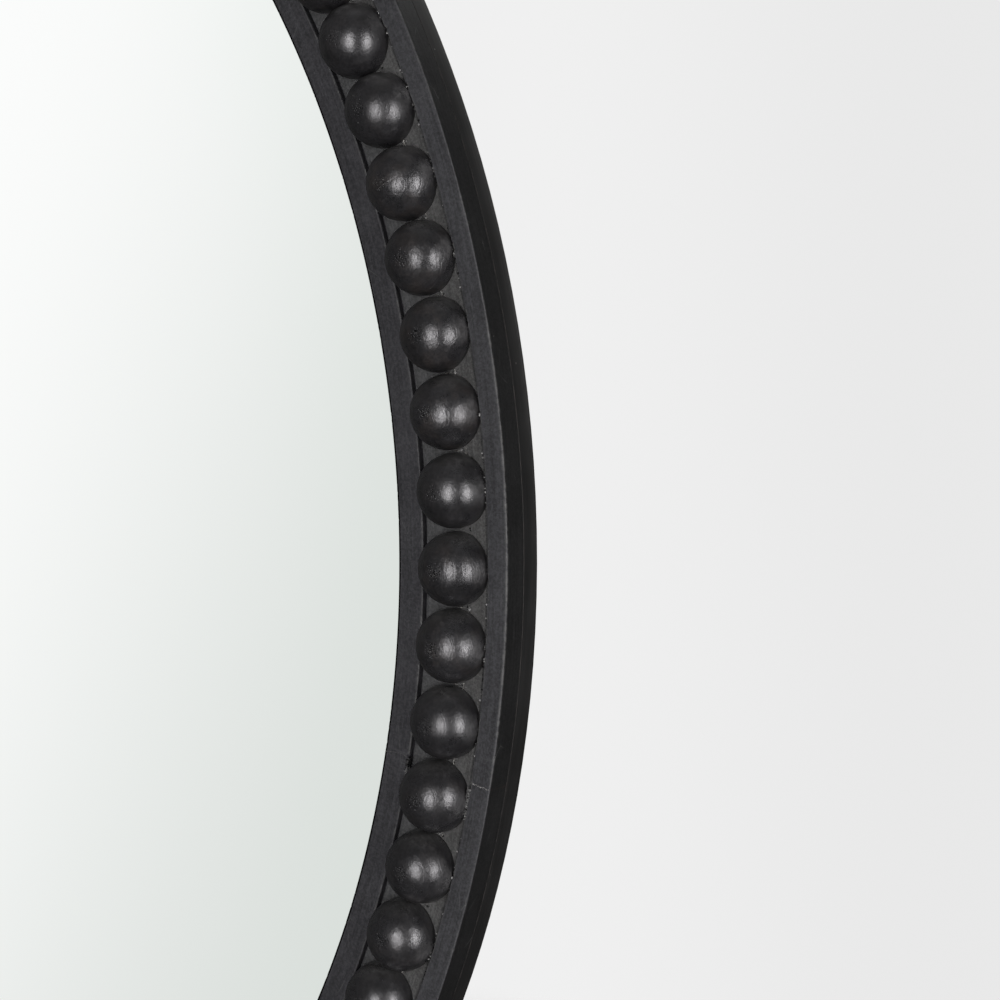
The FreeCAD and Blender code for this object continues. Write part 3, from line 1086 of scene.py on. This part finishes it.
@dataclass
class FrontLayer:
    """The front layer of the frame: inner lip, groove and outer lip, in six segments."""

    beads: BeadRow
    sight_radius: float = 0.406
    groove_inner: float = 0.4177
    groove_outer: float = 0.448
    rim_radius: float = 0.457
    face_depth: float = -0.025
    sight_round: float = 0.0004
    groove_round: float = 0.0003
    rim_round: float = 0.0005
    seam_chamfer: float = 0.00025
    wall_shade: float = 0.24
    arc_steps: int = 4
    guard: float = 0.0007
    chips_per_degree: float = 9.0
    runs_per_degree: float = 0.9
    joint_chip: float = 0.0022
    joint_chip_shift: float = -0.2
    joint_chip_width: float = 0.36
    joint_chips_per_degree: float = 14.0
    joint_chip_noise: tuple[float, float] = (1.8, -0.5)
    bead_chip: float = 0.0006
    notch_whole: float = 0.4
    full_wear_depth: float = 0.0003
    most_chip_wear: float = 0.6
    wear_per_degree: float = 1.3
    least_wear: float = 0.35
    rim_wear_to: float = 11.0
    rim_wear_per_degree: float = 0.06
    rim_wear_least: float = 0.07
    rim_wear_more: float = 0.45
    sharp_from: float = 38.0
    steps: int = 1000
    seed: int = 7

    def arc(self, radius: float, rounding: float, side: int, arris: Arris) -> list[ProfilePoint]:
        """The rounded edge between the face and a wall.

        Args:
            radius: the wall's radius.
            rounding: the edge's radius.
            side: 1 if the body lies outwards of the wall, -1 if inwards.
            arris: which edge it is.

        Returns:
            Its points, from the wall to the face.
        """
        lean = (side * math.sqrt(0.5), math.sqrt(0.5))
        made = []
        for step in range(self.arc_steps + 1):
            turn = math.pi / 2 * step / self.arc_steps
            made.append(ProfilePoint(
                radius + side * rounding * (1.0 - math.cos(turn)),
                self.face_depth + rounding * (1.0 - math.sin(turn)), arris, lean,
                outer_side=float(arris is Arris.RIM and step == 0), shaded=float(arris is Arris.SIGHT)))
        return made

    def profile(self) -> list[ProfilePoint]:
        """Draw the cross-section, from the glass outwards over the front and back along the seam.

        Returns:
            Its points, as a closed line.
        """
        face, guard = self.face_depth, self.guard
        return [
            ProfilePoint(self.sight_radius, SEAM_DEPTH, shaded=1.0),
            ProfilePoint(self.sight_radius, face + self.sight_round + guard, shaded=1.0),
            *self.arc(self.sight_radius, self.sight_round, 1, Arris.SIGHT),
            ProfilePoint(self.sight_radius + self.sight_round + guard, face),
            ProfilePoint(self.groove_inner - self.groove_round - guard, face),
            *reversed(self.arc(self.groove_inner, self.groove_round, -1, Arris.GROOVE_INNER)),
            ProfilePoint(self.groove_inner, face + self.groove_round + guard / 2, shaded=self.wall_shade),
            ProfilePoint(self.groove_inner, FLOOR_DEPTH, shaded=self.wall_shade),
            ProfilePoint(self.groove_inner + guard, FLOOR_DEPTH, groove_floor=1.0),
            ProfilePoint(self.groove_outer - guard, FLOOR_DEPTH, groove_floor=1.0),
            ProfilePoint(self.groove_outer, FLOOR_DEPTH),
            *self.arc(self.groove_outer, self.groove_round, 1, Arris.GROOVE_OUTER),
            ProfilePoint(self.groove_outer + self.groove_round + guard, face),
            ProfilePoint(self.rim_radius - self.rim_round - guard, face),
            *reversed(self.arc(self.rim_radius, self.rim_round, -1, Arris.RIM)),
            ProfilePoint(self.rim_radius, face + self.rim_round + guard, outer_side=1.0),
            ProfilePoint(self.rim_radius, SEAM_DEPTH - self.seam_chamfer, outer_side=1.0),
            ProfilePoint(self.rim_radius - self.seam_chamfer, SEAM_DEPTH, outer_side=1.0),
        ]

    def chips(self, arris: Arris, angles: np.ndarray) -> np.ndarray:
        """Chip one edge.

        Args:
            arris: which edge.
            angles: the polar angles.

        Returns:
            How deep it is chipped at each angle, in metres.
        """
        seed = self.seed + 10 * list(Arris).index(arris)
        fine = smooth_noise(angles * self.chips_per_degree, seed)
        run = smooth_noise(angles * self.runs_per_degree, seed + 1)
        depth = arris.value.chip * np.clip(fine * run - arris.value.whole, 0.0, 1.0)
        if arris is Arris.GROOVE_INNER:
            broken = smooth_noise(angles * self.joint_chips_per_degree, seed + 3)
            past_joint = from_nearest(angles, crack_angle(0), SEGMENT_SPAN) - self.joint_chip_shift
            near_joint = np.exp(-((past_joint / self.joint_chip_width) ** 2))
            gain, lift = self.joint_chip_noise
            depth += self.joint_chip * near_joint * np.clip(broken * gain + lift, 0.0, 1.0)
        elif arris is Arris.GROOVE_OUTER:
            beside_bead = np.exp(-(from_nearest(angles, self.beads.first_angle, self.beads.pitch) ** 4))
            notches = smooth_noise(angles * self.chips_per_degree, seed + 2) - self.notch_whole
            depth += self.bead_chip * beside_bead * np.clip(notches, 0.0, 1.0) * (self.notch_whole + run)
        return depth

    def rim_wear_and_highlight(self, angles: np.ndarray) -> np.ndarray:
        """Wear the outer edge and paint its highlight, most from the first joint to above the middle.

        Args:
            angles: the polar angles.

        Returns:
            How pale it is at each angle, from 0 to 1: wear and painted highlight.
        """
        around = from_nearest(angles, 0.0, FULL_TURN)
        bared = np.exp(-((around / self.rim_wear_to) ** 4)) * (around > FIRST_JOINT)
        elsewhere = self.rim_wear_more * smooth_noise(angles * self.rim_wear_per_degree, self.seed + 95)
        elsewhere *= np.abs(around) > 2.0 * self.rim_wear_to
        return np.maximum(bared, elsewhere + self.rim_wear_least)

    def build(self) -> None:
        """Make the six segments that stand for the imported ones."""
        profile, finish = self.profile(), FramePaint()
        count, rows = len(profile), self.steps + 1
        faces = tube(rows, count)
        for number in range(SEGMENTS):
            angles = FIRST_JOINT + SEGMENT_SPAN * (number + np.linspace(0.0, 1.0, rows))
            points, wear = np.zeros((rows, count, 3)), np.zeros((rows, count))
            worn_run = smooth_noise(angles * self.wear_per_degree, self.seed + 90)
            worn_run = self.least_wear + (1.0 - self.least_wear) * worn_run
            for column, place in enumerate(profile):
                chipped = self.chips(place.arris, angles) if place.arris else np.zeros(rows)
                points[:, column] = on_ring(place.radius + place.lean[0] * chipped, angles,
                                            place.depth + place.lean[1] * chipped)
                if place.arris:
                    worn = self.rim_wear_and_highlight(angles) if place.arris is Arris.RIM else worn_run
                    bared = np.clip(chipped / self.full_wear_depth, 0.0, self.most_chip_wear)
                    wear[:, column] = place.arris.value.wear * worn + bared
            masks = {name: np.tile([getattr(place, name) for place in profile], rows)
                     for name in ("groove_floor", "outer_side", "shaded")}
            segment = Parts()
            segment.add(points.reshape(-1, 3), faces, wear=wear.reshape(-1), **masks)
            piece = segment.piece(f"front_layer_{number + 1}")
            piece.data.set_sharp_from_angle(angle=math.radians(self.sharp_from))
            mount(piece, finish, f"front_segment_{number + 1}")


class Station(NamedTuple):
    """A place along a strand: how far out of the ring line and along it, its half width and height."""

    reach: float
    shift: float
    width: float
    height: float


@dataclass
class BeadGlue:
    """Glue that was squeezed out between neighbouring beads, mostly on the outer side."""

    beads: BeadRow
    thread_chance: float = 0.8
    thread_length: Span = (0.0015, 0.0035)
    thread_start: float = -0.0004
    thread_width: float = 0.00022
    thread_fill: float = 0.5
    thread_stray: float = 0.1
    thread_taper: Span = (0.1, 0.9)
    thread_height: float = 0.0009
    web_chance: float = 0.85
    web_reach: Span = (0.0036, 0.0055)
    web_bow: Span = (-0.0007, 0.0002)
    web_width: float = 0.00032
    web_height: float = 0.0011
    web_end: float = 0.0002
    sunk: float = 0.00005
    lumps: Span = (0.4, 1.0, 0.5, 1.0)
    web_lumps: Span = (0.35, 1.0, 0.45, 1.0)
    sides: int = 7
    stations: int = 9
    seed: int = 23

    def half_gap(self, reach: float) -> float:
        """Half the space between two beads at a distance out from the line through their centres."""
        half_chord = self.beads.ring_radius * math.sin(math.radians(self.beads.pitch / 2))
        return half_chord - math.sqrt(self.beads.radius ** 2 - reach ** 2)

    def strand(self, path: Sequence[Station], angle: float) -> tuple[list, Faces]:
        """One lumpy strand on the groove's floor.

        Args:
            path: its stations.
            angle: the polar angle between the two beads.

        Returns:
            Its points and faces.
        """
        out, along = on_ring(1.0, angle, 0.0), on_ring(1.0, angle + QUARTER_TURN, 0.0)
        headings = np.gradient(np.array([(step.reach, step.shift) for step in path]), axis=0)
        points = []
        for (reach, shift, width, height), heading in zip(path, headings):
            across = np.array([-heading[1], heading[0]]) / max(np.hypot(*heading), SMALLEST)
            for swing in np.linspace(0.0, math.pi, self.sides):
                off = width * math.cos(swing) * across
                spot = (self.beads.ring_radius + reach + off[0]) * out + (shift + off[1]) * along
                points.append((spot[0], FLOOR_DEPTH + self.sunk - height * math.sin(swing), spot[2]))
        return points, tube(len(path), self.sides)

    def thread(self, draw: Draw) -> list[Station]:
        """Draw a thin strand along the slit where two beads almost touch.

        Args:
            draw: the source of random numbers.

        Returns:
            Its stations.
        """
        length = draw.uniform(*self.thread_length)
        thinnest, thickest, lowest, highest = self.lumps
        steps = []
        for swell in np.linspace(*self.thread_taper, self.stations):
            reach = length * (swell - self.thread_taper[0]) / np.ptp(self.thread_taper) + self.thread_start
            taper = math.sin(math.pi * swell)
            width = self.half_gap(reach) * self.thread_fill + self.thread_width
            width *= draw.uniform(thinnest, thickest) * taper
            shift = draw.uniform(-self.thread_stray, self.thread_stray) * width
            height = self.thread_height * draw.uniform(lowest, highest) * taper
            steps.append(Station(reach, shift, width, height))
        return steps

    def web(self, draw: Draw) -> list[Station]:
        """Draw a short web from one bead to the next, further out.

        Args:
            draw: the source of random numbers.

        Returns:
            Its stations.
        """
        reach = draw.uniform(*self.web_reach)
        half = self.half_gap(reach) + self.web_end
        bow = draw.uniform(*self.web_bow)
        thinnest, thickest, lowest, highest = self.web_lumps
        steps = []
        for share in np.linspace(-1.0, 1.0, self.stations):
            width = self.web_width * draw.uniform(thinnest, thickest)
            height = self.web_height * draw.uniform(lowest, highest) * (1.0 + share * share) / 2
            steps.append(Station(reach + bow * (1.0 - share * share), half * share, width, height))
        return steps

    def build(self) -> None:
        """Make all the strands as one piece."""
        draw = Draw(self.seed)
        glue = Parts()
        for angle in self.beads.angles():
            for shape, chance in ((self.thread, self.thread_chance), (self.web, self.web_chance)):
                path = shape(draw)
                if draw.rand() < chance:
                    glue.add(*self.strand(path, angle + self.beads.pitch / 2))
        mount(glue.piece("bead_glue"), DriedGlue())


class Crumb(NamedTuple):
    """One crumb: its centre, mean radius and own shade."""

    middle: np.ndarray
    size: float
    shade: float


class Scatter(NamedTuple):
    """How crumbs lie about an edge at a joint: their number and the ranges of what differs."""

    count: int
    out: Span
    sunk: Span
    angle: Span
    size: Span
    shade: Span
    shade_power: float = 1.0


@dataclass
class PaintCrumbs:
    """Crumbs of paint and filler along the groove's outer edge and in the slits between beads."""

    beads: BeadRow
    layer: FrontLayer
    # crumbs beside the beads: pale ones, and near-black ones painted as shade of notches
    beside_bead: int = 34
    in_corner: int = 9
    in_slit: int = 6
    slit_reach: Span = (0.0028, 0.0062)
    slit_half_width: float = 0.0006
    size: Span = (0.0001, 0.00052)
    tips: Span = (0.6, 1.4)
    tip_stray: float = 0.25
    spread: Span = (0.4, 1.1)
    busy: Span = (0.25, 1.0)
    corner_spread: float = 0.35
    edge_off: Span = (-0.95, 0.5)
    edge_lift: Span = (-0.5, 0.2)
    proud: float = 0.4
    smear: Scatter = Scatter(210, (-0.0012, 0.0005), (0.00005, 0.0003), (-1.65, -0.25),
                             (0.00016, 0.0004), (0.55, 0.84))
    # flakes: mostly near black, painted shade of chips at the groove's inner edge
    flakes: Scatter = Scatter(46, (-0.0002, 0.0013), (0.0, 0.0005), (-0.75, 0.15),
                              (0.00014, 0.0004), (0.0, 0.75), 2.0)
    other_joints: Span = (0.25, 0.7)
    spot_count: int = 26
    spot_margins: Span = (0.0006, 0.0004)
    spot_stray: float = 0.022
    spot_size: Span = (0.0001, 0.00026)
    spot_shade: Span = (0.6, 1.0)
    seed: int = 61

    def crumb(self, draw: Draw, middle: np.ndarray, size: float) -> tuple[list, Faces]:
        """One crumb: a rough eight-sided grain.

        Args:
            draw: the source of random numbers.
            middle: its centre.
            size: its mean radius.

        Returns:
            Its points and faces.
        """
        points = []
        for axis in range(3):
            for way in (1.0, -1.0):
                tip = np.zeros(3)
                tip[axis] = way * draw.uniform(*self.tips)
                points.append(middle + size * (tip + draw.uniform(-self.tip_stray, self.tip_stray, 3)))
        corners = ((0, 2, 4), (2, 1, 4), (1, 3, 4), (3, 0, 4), (2, 0, 5), (1, 2, 5), (3, 1, 5), (0, 3, 5))
        return points, list(corners)

    def at_edge(self, draw: Draw, angle: float, size: float) -> np.ndarray:
        """Find a place on the groove's outer edge.

        Args:
            draw: the source of random numbers.
            angle: the crumb's polar angle.
            size: its mean radius.

        Returns:
            The place.
        """
        off = draw.uniform(*self.edge_off)
        lift = draw.uniform(*self.edge_lift) if off < 0 else -self.proud
        return on_ring(self.layer.groove_outer + size * off, angle, self.layer.face_depth + size * lift)

    def at_slit(self, draw: Draw, between: float, size: float) -> np.ndarray:
        """Find a place in the corner between two beads, on the groove's floor.

        Args:
            draw: the source of random numbers.
            between: the corner's polar angle.
            size: the crumb's mean radius.

        Returns:
            The place.
        """
        radius = self.beads.ring_radius + draw.uniform(*self.slit_reach)
        along = draw.uniform(-self.slit_half_width, self.slit_half_width)
        return on_ring(radius, between, FLOOR_DEPTH - self.proud * size, along)

    def at_joint(self, draw: Draw, joint: float, share: float) -> list[Crumb]:
        """The crumbs of one joint: a smear beside the bead, flakes at the inner lip and spots on the outer.

        Args:
            draw: the source of random numbers.
            joint: the joint's polar angle.
            share: how many of them this joint has, from 0 to 1.

        Returns:
            The crumbs.
        """
        layer, made = self.layer, []
        for kind, edge in ((self.smear, layer.groove_outer), (self.flakes, layer.groove_inner)):
            least, most = kind.shade
            for _ in range(int(kind.count * share)):
                radius, depth = edge + draw.uniform(*kind.out), layer.face_depth + draw.uniform(*kind.sunk)
                middle = on_ring(radius, joint + draw.uniform(*kind.angle), depth)
                size, shade = draw.uniform(*kind.size), draw.rand() ** kind.shade_power
                made.append(Crumb(middle, size, least + (most - least) * shade))
        near, far = self.spot_margins
        for _ in range(int(self.spot_count * share)):
            radius = draw.uniform(layer.groove_outer + near, layer.rim_radius - far)
            middle = on_ring(radius, joint + draw.normal(0.0, self.spot_stray), layer.face_depth)
            made.append(Crumb(middle, draw.uniform(*self.spot_size), draw.uniform(*self.spot_shade)))
        return made

    def build(self) -> None:
        """Make all the crumbs as one piece."""
        draw = Draw(self.seed)
        crumbs = Parts()
        smallest, largest = self.size
        for angle in self.beads.angles():
            between = angle + self.beads.pitch / 2
            spread, busy = draw.uniform(*self.spread), draw.uniform(*self.busy)
            beside = [angle + draw.normal(0.0, spread) for _ in range(int(self.beside_bead * busy))]
            corner = [between + draw.normal(0.0, self.corner_spread)
                      for _ in range(int(self.in_corner * draw.rand()))]
            places = [(self.at_edge, spot) for spot in beside + corner]
            for find, spot in places + [(self.at_slit, between)] * self.in_slit:
                size = smallest + (largest - smallest) * draw.rand() ** 2
                crumb = self.crumb(draw, find(draw, spot, size), size)
                crumbs.add(*crumb, own_shade=draw.rand())
        for number in range(SEGMENTS):
            share = 1.0 if number == 0 else draw.uniform(*self.other_joints)
            for middle, size, shade in self.at_joint(draw, crack_angle(number), share):
                crumbs.add(*self.crumb(draw, middle, size), own_shade=shade)
        mount(crumbs.piece("paint_crumbs", smooth=False), CrumbPaint())


@dataclass(frozen=True)
class Crack:
    """One crooked line of cracked paint, across a lip or the groove's floor."""

    start: float
    end: float
    depth: float
    shift: float
    bow: float
    lean: float
    width: float
    missing: float
    bared: float


@dataclass
class JointCracks:
    """Thin crooked lines where the paint has cracked over the front layer's six joints."""

    layer: FrontLayer
    proud: float = 0.00005
    stray: float = 0.00022
    steadiness: float = 0.6
    narrowing: Span = (0.3, 1.0)
    across: Span = (-0.5, 0.0, 0.5)
    stations: int = 26
    seed: int = 5

    def ribbon(self, draw: Draw, angle: float, crack: Crack) -> tuple[list, Faces]:
        """One crack.

        Args:
            draw: the source of random numbers.
            angle: the joint's polar angle.
            crack: its place and shape.

        Returns:
            Its points and faces.
        """
        points, faces = [], []
        stray = 0.0
        for share in np.linspace(0.0, 1.0, self.stations):
            radius = crack.start + (crack.end - crack.start) * share
            stray = self.steadiness * stray + draw.uniform(-self.stray, self.stray)
            arc = crack.shift + crack.bow * math.sin(math.pi * share) + crack.lean * share + stray
            width = crack.width * draw.uniform(*self.narrowing)
            for edge in self.across:
                lift = self.proud if edge == 0.0 else -self.proud
                points.append(on_ring(radius, angle, crack.depth - lift, arc + edge * width))
        row = len(self.across)
        for near in range(0, len(points) - row, row):
            if draw.rand() >= crack.missing:
                faces += [(side, side + row, side + row + 1, side + 1) for side in (near, near + 1)]
        return points, faces

    def cracks(self, draw: Draw) -> tuple[Crack, ...]:
        """Draw the cracks of one joint.

        Args:
            draw: the source of random numbers.

        Returns:
            The cracks across the inner lip, into the groove and across the outer lip.
        """
        layer = self.layer
        inner = Crack(start=layer.sight_radius + 0.0006, end=layer.groove_inner - 0.0005,
                      depth=layer.face_depth, shift=-0.0001, bow=draw.uniform(0.0009, 0.0015),
                      lean=0.0007, width=0.0004, missing=0.05, bared=0.25)
        floor = Crack(start=layer.groove_inner + 0.0004, end=layer.groove_inner + 0.0085,
                      depth=FLOOR_DEPTH, shift=0.0026, bow=draw.uniform(-0.0004, 0.0002),
                      lean=-0.0003, width=0.0006, missing=0.15, bared=0.15)
        outer = Crack(start=layer.groove_outer + 0.0001, end=layer.rim_radius - 0.0004,
                      depth=layer.face_depth, shift=0.0001, bow=draw.uniform(-0.0002, 0.0004),
                      lean=0.0002, width=0.0008, missing=0.15, bared=1.0)
        return inner, floor, outer

    def build(self) -> None:
        """Make the lines at each joint."""
        draw = Draw(self.seed)
        for number in range(SEGMENTS):
            lines = Parts()
            for crack in self.cracks(draw):
                lines.add(*self.ribbon(draw, crack_angle(number), crack), bared=crack.bared)
            mount(lines.piece(f"joint_crack_{number + 1}"), CrackedPaint())


@dataclass
class BackOfMirror:
    """The pieces behind the front layer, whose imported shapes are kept."""

    bumpers: tuple[str, ...] = ("top_right", "top_left", "bottom_left", "bottom_right")
    sides: tuple[str, ...] = ("right", "left")

    def build(self) -> None:
        """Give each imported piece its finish."""
        for number in range(SEGMENTS):
            dress(f"back_segment_{number + 1}", BackPaint())
        dress("mirror_glass", SilveredGlass())
        dress("packing_sheet", PackingBoard())
        dress("backing_board", Hardboard())
        dress("board_screws", ZincSteel(Plating.YELLOW))
        for side in self.sides:
            dress(f"hanger_strap_{side}", ZincSteel())
            dress(f"hanger_ring_{side}", ZincSteel())
            dress(f"hanger_screws_{side}", ZincSteel(Plating.YELLOW))
        for place in self.bumpers:
            dress(f"bumper_{place}", BumperRubber())


def direction(azimuth: float, elevation: float) -> Vector:
    """The unit vector towards a place round the object.

    Args:
        azimuth: degrees from the front (-Y) towards the right-hand side (+X).
        elevation: degrees above the floor.

    Returns:
        The vector.
    """
    turn, rise = math.radians(azimuth), math.radians(elevation)
    return Vector((math.sin(turn) * math.cos(rise), -math.cos(turn) * math.cos(rise), math.sin(rise)))


@dataclass(frozen=True)
class SoftBox:
    """One large soft lamp that faces the object, brightest in its middle."""

    name: str
    azimuth: float
    elevation: float
    width: float
    height: float
    radiance: float
    distance: float = 2.4
    aim: tuple[float, float, float] = (0.43, -0.03, 0.0)
    fall_off: Span = (0.0, 0.5, 2.85, 0.2)

    def build(self, unlit: Sequence[bpy.types.Object]) -> None:
        """Make the lamp.

        Args:
            unlit: the pieces that it passes over, such as the silvered glass, which would show it.
        """
        lamp = bpy.data.lights.new(self.name, "AREA")
        lamp.shape = "ELLIPSE"
        lamp.size = self.width
        lamp.size_y = self.height
        lamp.energy = self.radiance * math.pi * (math.pi / 4 * self.width * self.height)
        lamp.use_nodes = True
        nodes = Nodes(lamp.node_tree)
        across, along, _ = nodes.read("NewGeometry", {}, "Parametric").parts()
        squares = [nodes.math("POWER", part - 0.5, 2.0) for part in (across, along)]
        level = nodes.math("SQRT", squares[0] + squares[1]).span(*self.fall_off)
        nodes.feed(level, lamp.node_tree.nodes["Emission"].inputs["Strength"])
        holder = bpy.data.objects.new(self.name, lamp)
        away = direction(self.azimuth, self.elevation)
        holder.location = Vector(self.aim) + away * self.distance
        holder.rotation_euler = away.to_track_quat("Z", "Y").to_euler()
        holder.visible_camera = False
        passed_over = bpy.data.collections.new(f"{self.name}_passes_over")
        for piece in unlit:
            passed_over.objects.link(piece)
        for link in passed_over.collection_objects:
            link.light_linking.link_state = "EXCLUDE"
        holder.light_linking.receiver_collection = passed_over
        bpy.context.scene.collection.objects.link(holder)


@dataclass
class Studio:
    """Pale floor and backdrop, soft lamps and the camera."""

    floor_depth: float = -0.457
    floor_radius: float = 0.95
    floor_sectors: int = 96
    floor_fade: Span = (0.58, 0.8, 1.0, 0.0)
    floor_tone: Tone = (0.8, 0.8, 0.8)
    floor_dark_share: float = 0.985
    floor_gloss_tone: Tone = (0.1, 0.1, 0.1)
    floor_mottle: Noise = Noise(260.0, 3.0, levels=(0.3, 0.7))
    floor_roughness: float = 0.8
    floor_specular_level: float = 0.1
    floor_glow: float = 0.38
    backdrop_near: Tone = (0.872, 0.872, 0.872)
    backdrop_far: Tone = (0.812, 0.812, 0.812)
    backdrop_way: tuple[float, float, float] = (0.8126, 0.5829, 0.0)
    backdrop_span: Span = (0.0, 0.19)
    front_bright: Tone = (0.992, 0.99, 0.991)
    front_dim: Tone = (0.732, 0.757, 0.737)
    front_left: Tone = (0.9, 0.905, 0.9)
    front_way: tuple[float, float, float] = (0.8301, -0.558505, -0.348705)
    front_span: Span = (-0.285, 0.01)
    front_left_span: Span = (0.2, 0.9)
    room: Span = (-1.0, 1.0, 0.13, 0.37)
    gloss: Span = (-0.9, 0.9, 0.03, 0.12)
    side_azimuth: float = 104.0
    side_gloss: Span = (0.84, 0.98, 0.0, 0.22)
    over_gloss: Span = (0.88, 0.98, 0.0, 0.22)
    camera_place: tuple[float, float, float] = (0.96295, -0.73483, 0.10031)
    camera_azimuth: float = 35.649
    camera_elevation: float = 4.938
    camera_lens: float = 84.97
    camera_sensor: float = 36.0
    camera_clip: float = 0.02
    front_boxes: tuple[SoftBox, ...] = (
        SoftBox("soft_box_left", 17.5, -2.4, 1.25, 2.9, 5.0),
        SoftBox("soft_box_right", 74.5, -2.4, 1.1, 2.75, 5.7),
        SoftBox("soft_box_side", 112.0, 0.3, 1.0, 1.7, 0.6),
    )
    back_box: SoftBox = SoftBox("soft_box_back", 196.0, 36.0, 2.2, 1.6, 8.5, 2.8, (0.0, 0.0, 0.0))

    def camera(self) -> None:
        """Make the camera at the photograph's place."""
        view = bpy.data.cameras.new("photo_camera")
        view.lens = self.camera_lens
        view.sensor_width = self.camera_sensor
        view.clip_start = self.camera_clip
        holder = bpy.data.objects.new("photo_camera", view)
        back = direction(self.camera_azimuth, self.camera_elevation)
        holder.location = self.camera_place
        holder.rotation_euler = back.to_track_quat("Z", "Y").to_euler()
        bpy.context.scene.collection.objects.link(holder)
        bpy.context.scene.camera = holder

    @staticmethod
    def clear_ray(nodes: Nodes, depth: int) -> Signal:
        """Tell the rays that see the backdrop from those that only light the object.

        Args:
            nodes: the tree to add to.
            depth: the ray depth that one clear reflection has where this is read.

        Returns:
            1 for a ray that comes straight, through glass or by one clear reflection, otherwise 0.
        """
        mirrored = nodes.ray("Is Singular Ray") * (nodes.ray("Ray Depth") < depth + 0.5)
        straight = nodes.math("MAXIMUM", nodes.ray("Is Camera Ray"), nodes.ray("Is Transmission Ray"))
        return nodes.math("MAXIMUM", straight, mirrored)

    def floor(self) -> bpy.types.Object:
        """Make the floor, which fades into the backdrop round its edge.

        Returns:
            The floor.
        """
        turns = np.linspace(0.0, math.tau, self.floor_sectors, endpoint=False)
        disc = Parts()
        rim = self.floor_radius * np.stack([np.cos(turns), np.sin(turns)], axis=1)
        disc.add(np.insert(rim, 2, self.floor_depth, axis=1), [tuple(range(self.floor_sectors))])
        piece = disc.piece("studio_floor", smooth=False)
        shade = Shade("pale_floor")
        x, y, _ = shade.place().parts()
        seen, glossy = self.clear_ray(shade, 1), shade.ray("Is Glossy Ray")
        dark_tone = tuple(part * self.floor_dark_share for part in self.floor_tone)
        mottle = shade.grain(self.floor_mottle)
        tone = shade.blend(mottle, dark_tone, self.floor_tone)
        tone = shade.blend(glossy * (1.0 - seen), tone, self.floor_gloss_tone)
        there = shade.math("SQRT", x * x + y * y).span(*self.floor_fade) * (1.0 - glossy * seen)
        shade.set(Base_Color=tone, Roughness=self.floor_roughness, Alpha=there,
                  Specular_IOR_Level=self.floor_specular_level, Emission_Color=(1.0, 1.0, 1.0),
                  Emission_Strength=seen * self.floor_glow)
        piece.data.materials.append(shade.made)
        return piece

    def world(self) -> None:
        """Make the backdrop that is seen, and the dimmer room that lights the object."""
        sky = bpy.data.worlds.new("studio_room")
        sky.use_nodes = True
        bpy.context.scene.world = sky
        nodes = Nodes(sky.node_tree)

        def towards(vector: Sequence[float]) -> Signal:
            """How far the ray points along a fixed vector."""
            ray = nodes.read("TexCoord", {}, "Generated")
            return nodes.read("VectorMath", {0: ray, 1: vector}, "Value", operation="DOT_PRODUCT")

        behind = towards(self.backdrop_way).span(*self.backdrop_span)
        behind = nodes.blend(behind, self.backdrop_near, self.backdrop_far)
        across = towards(self.front_way)
        ahead = nodes.blend(across.span(*self.front_span), self.front_bright, self.front_dim)
        ahead = nodes.blend(across.span(*self.front_left_span), ahead, self.front_left)
        seen = nodes.blend(nodes.ray("Is Camera Ray"), ahead, behind)

        height = towards((0.0, 0.0, 1.0))
        side = towards(direction(self.side_azimuth, 0.0)).span(*self.side_gloss)
        gloss = side + height.span(*self.over_gloss) + height.span(*self.gloss)
        room = height.span(*self.room)
        room = nodes.ray("Is Glossy Ray") * (gloss - room) + room
        glow = sky.node_tree.nodes["Background"]
        nodes.feed(seen, glow.inputs["Color"])
        nodes.feed(self.clear_ray(nodes, 2) * (1.0 - room) + room, glow.inputs["Strength"])

    def build(self) -> None:
        """Make the whole studio."""
        self.camera()
        self.world()
        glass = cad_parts["mirror_glass"]
        floor = self.floor()
        for box in self.front_boxes:
            box.build([glass])
        self.back_box.build([glass, floor])


def main() -> None:
    """Build the studio and every piece."""
    logging.basicConfig(level=logging.INFO, format="%(message)s")
    bpy.context.scene.view_settings.view_transform = "Standard"
    Studio().build()
    beads = BeadRow()
    layer = FrontLayer(beads)
    layer.build()
    beads.build()
    BeadGlue(beads).build()
    PaintCrumbs(beads, layer).build()
    JointCracks(layer).build()
    BackOfMirror().build()


if __name__ == "__main__":
    main()
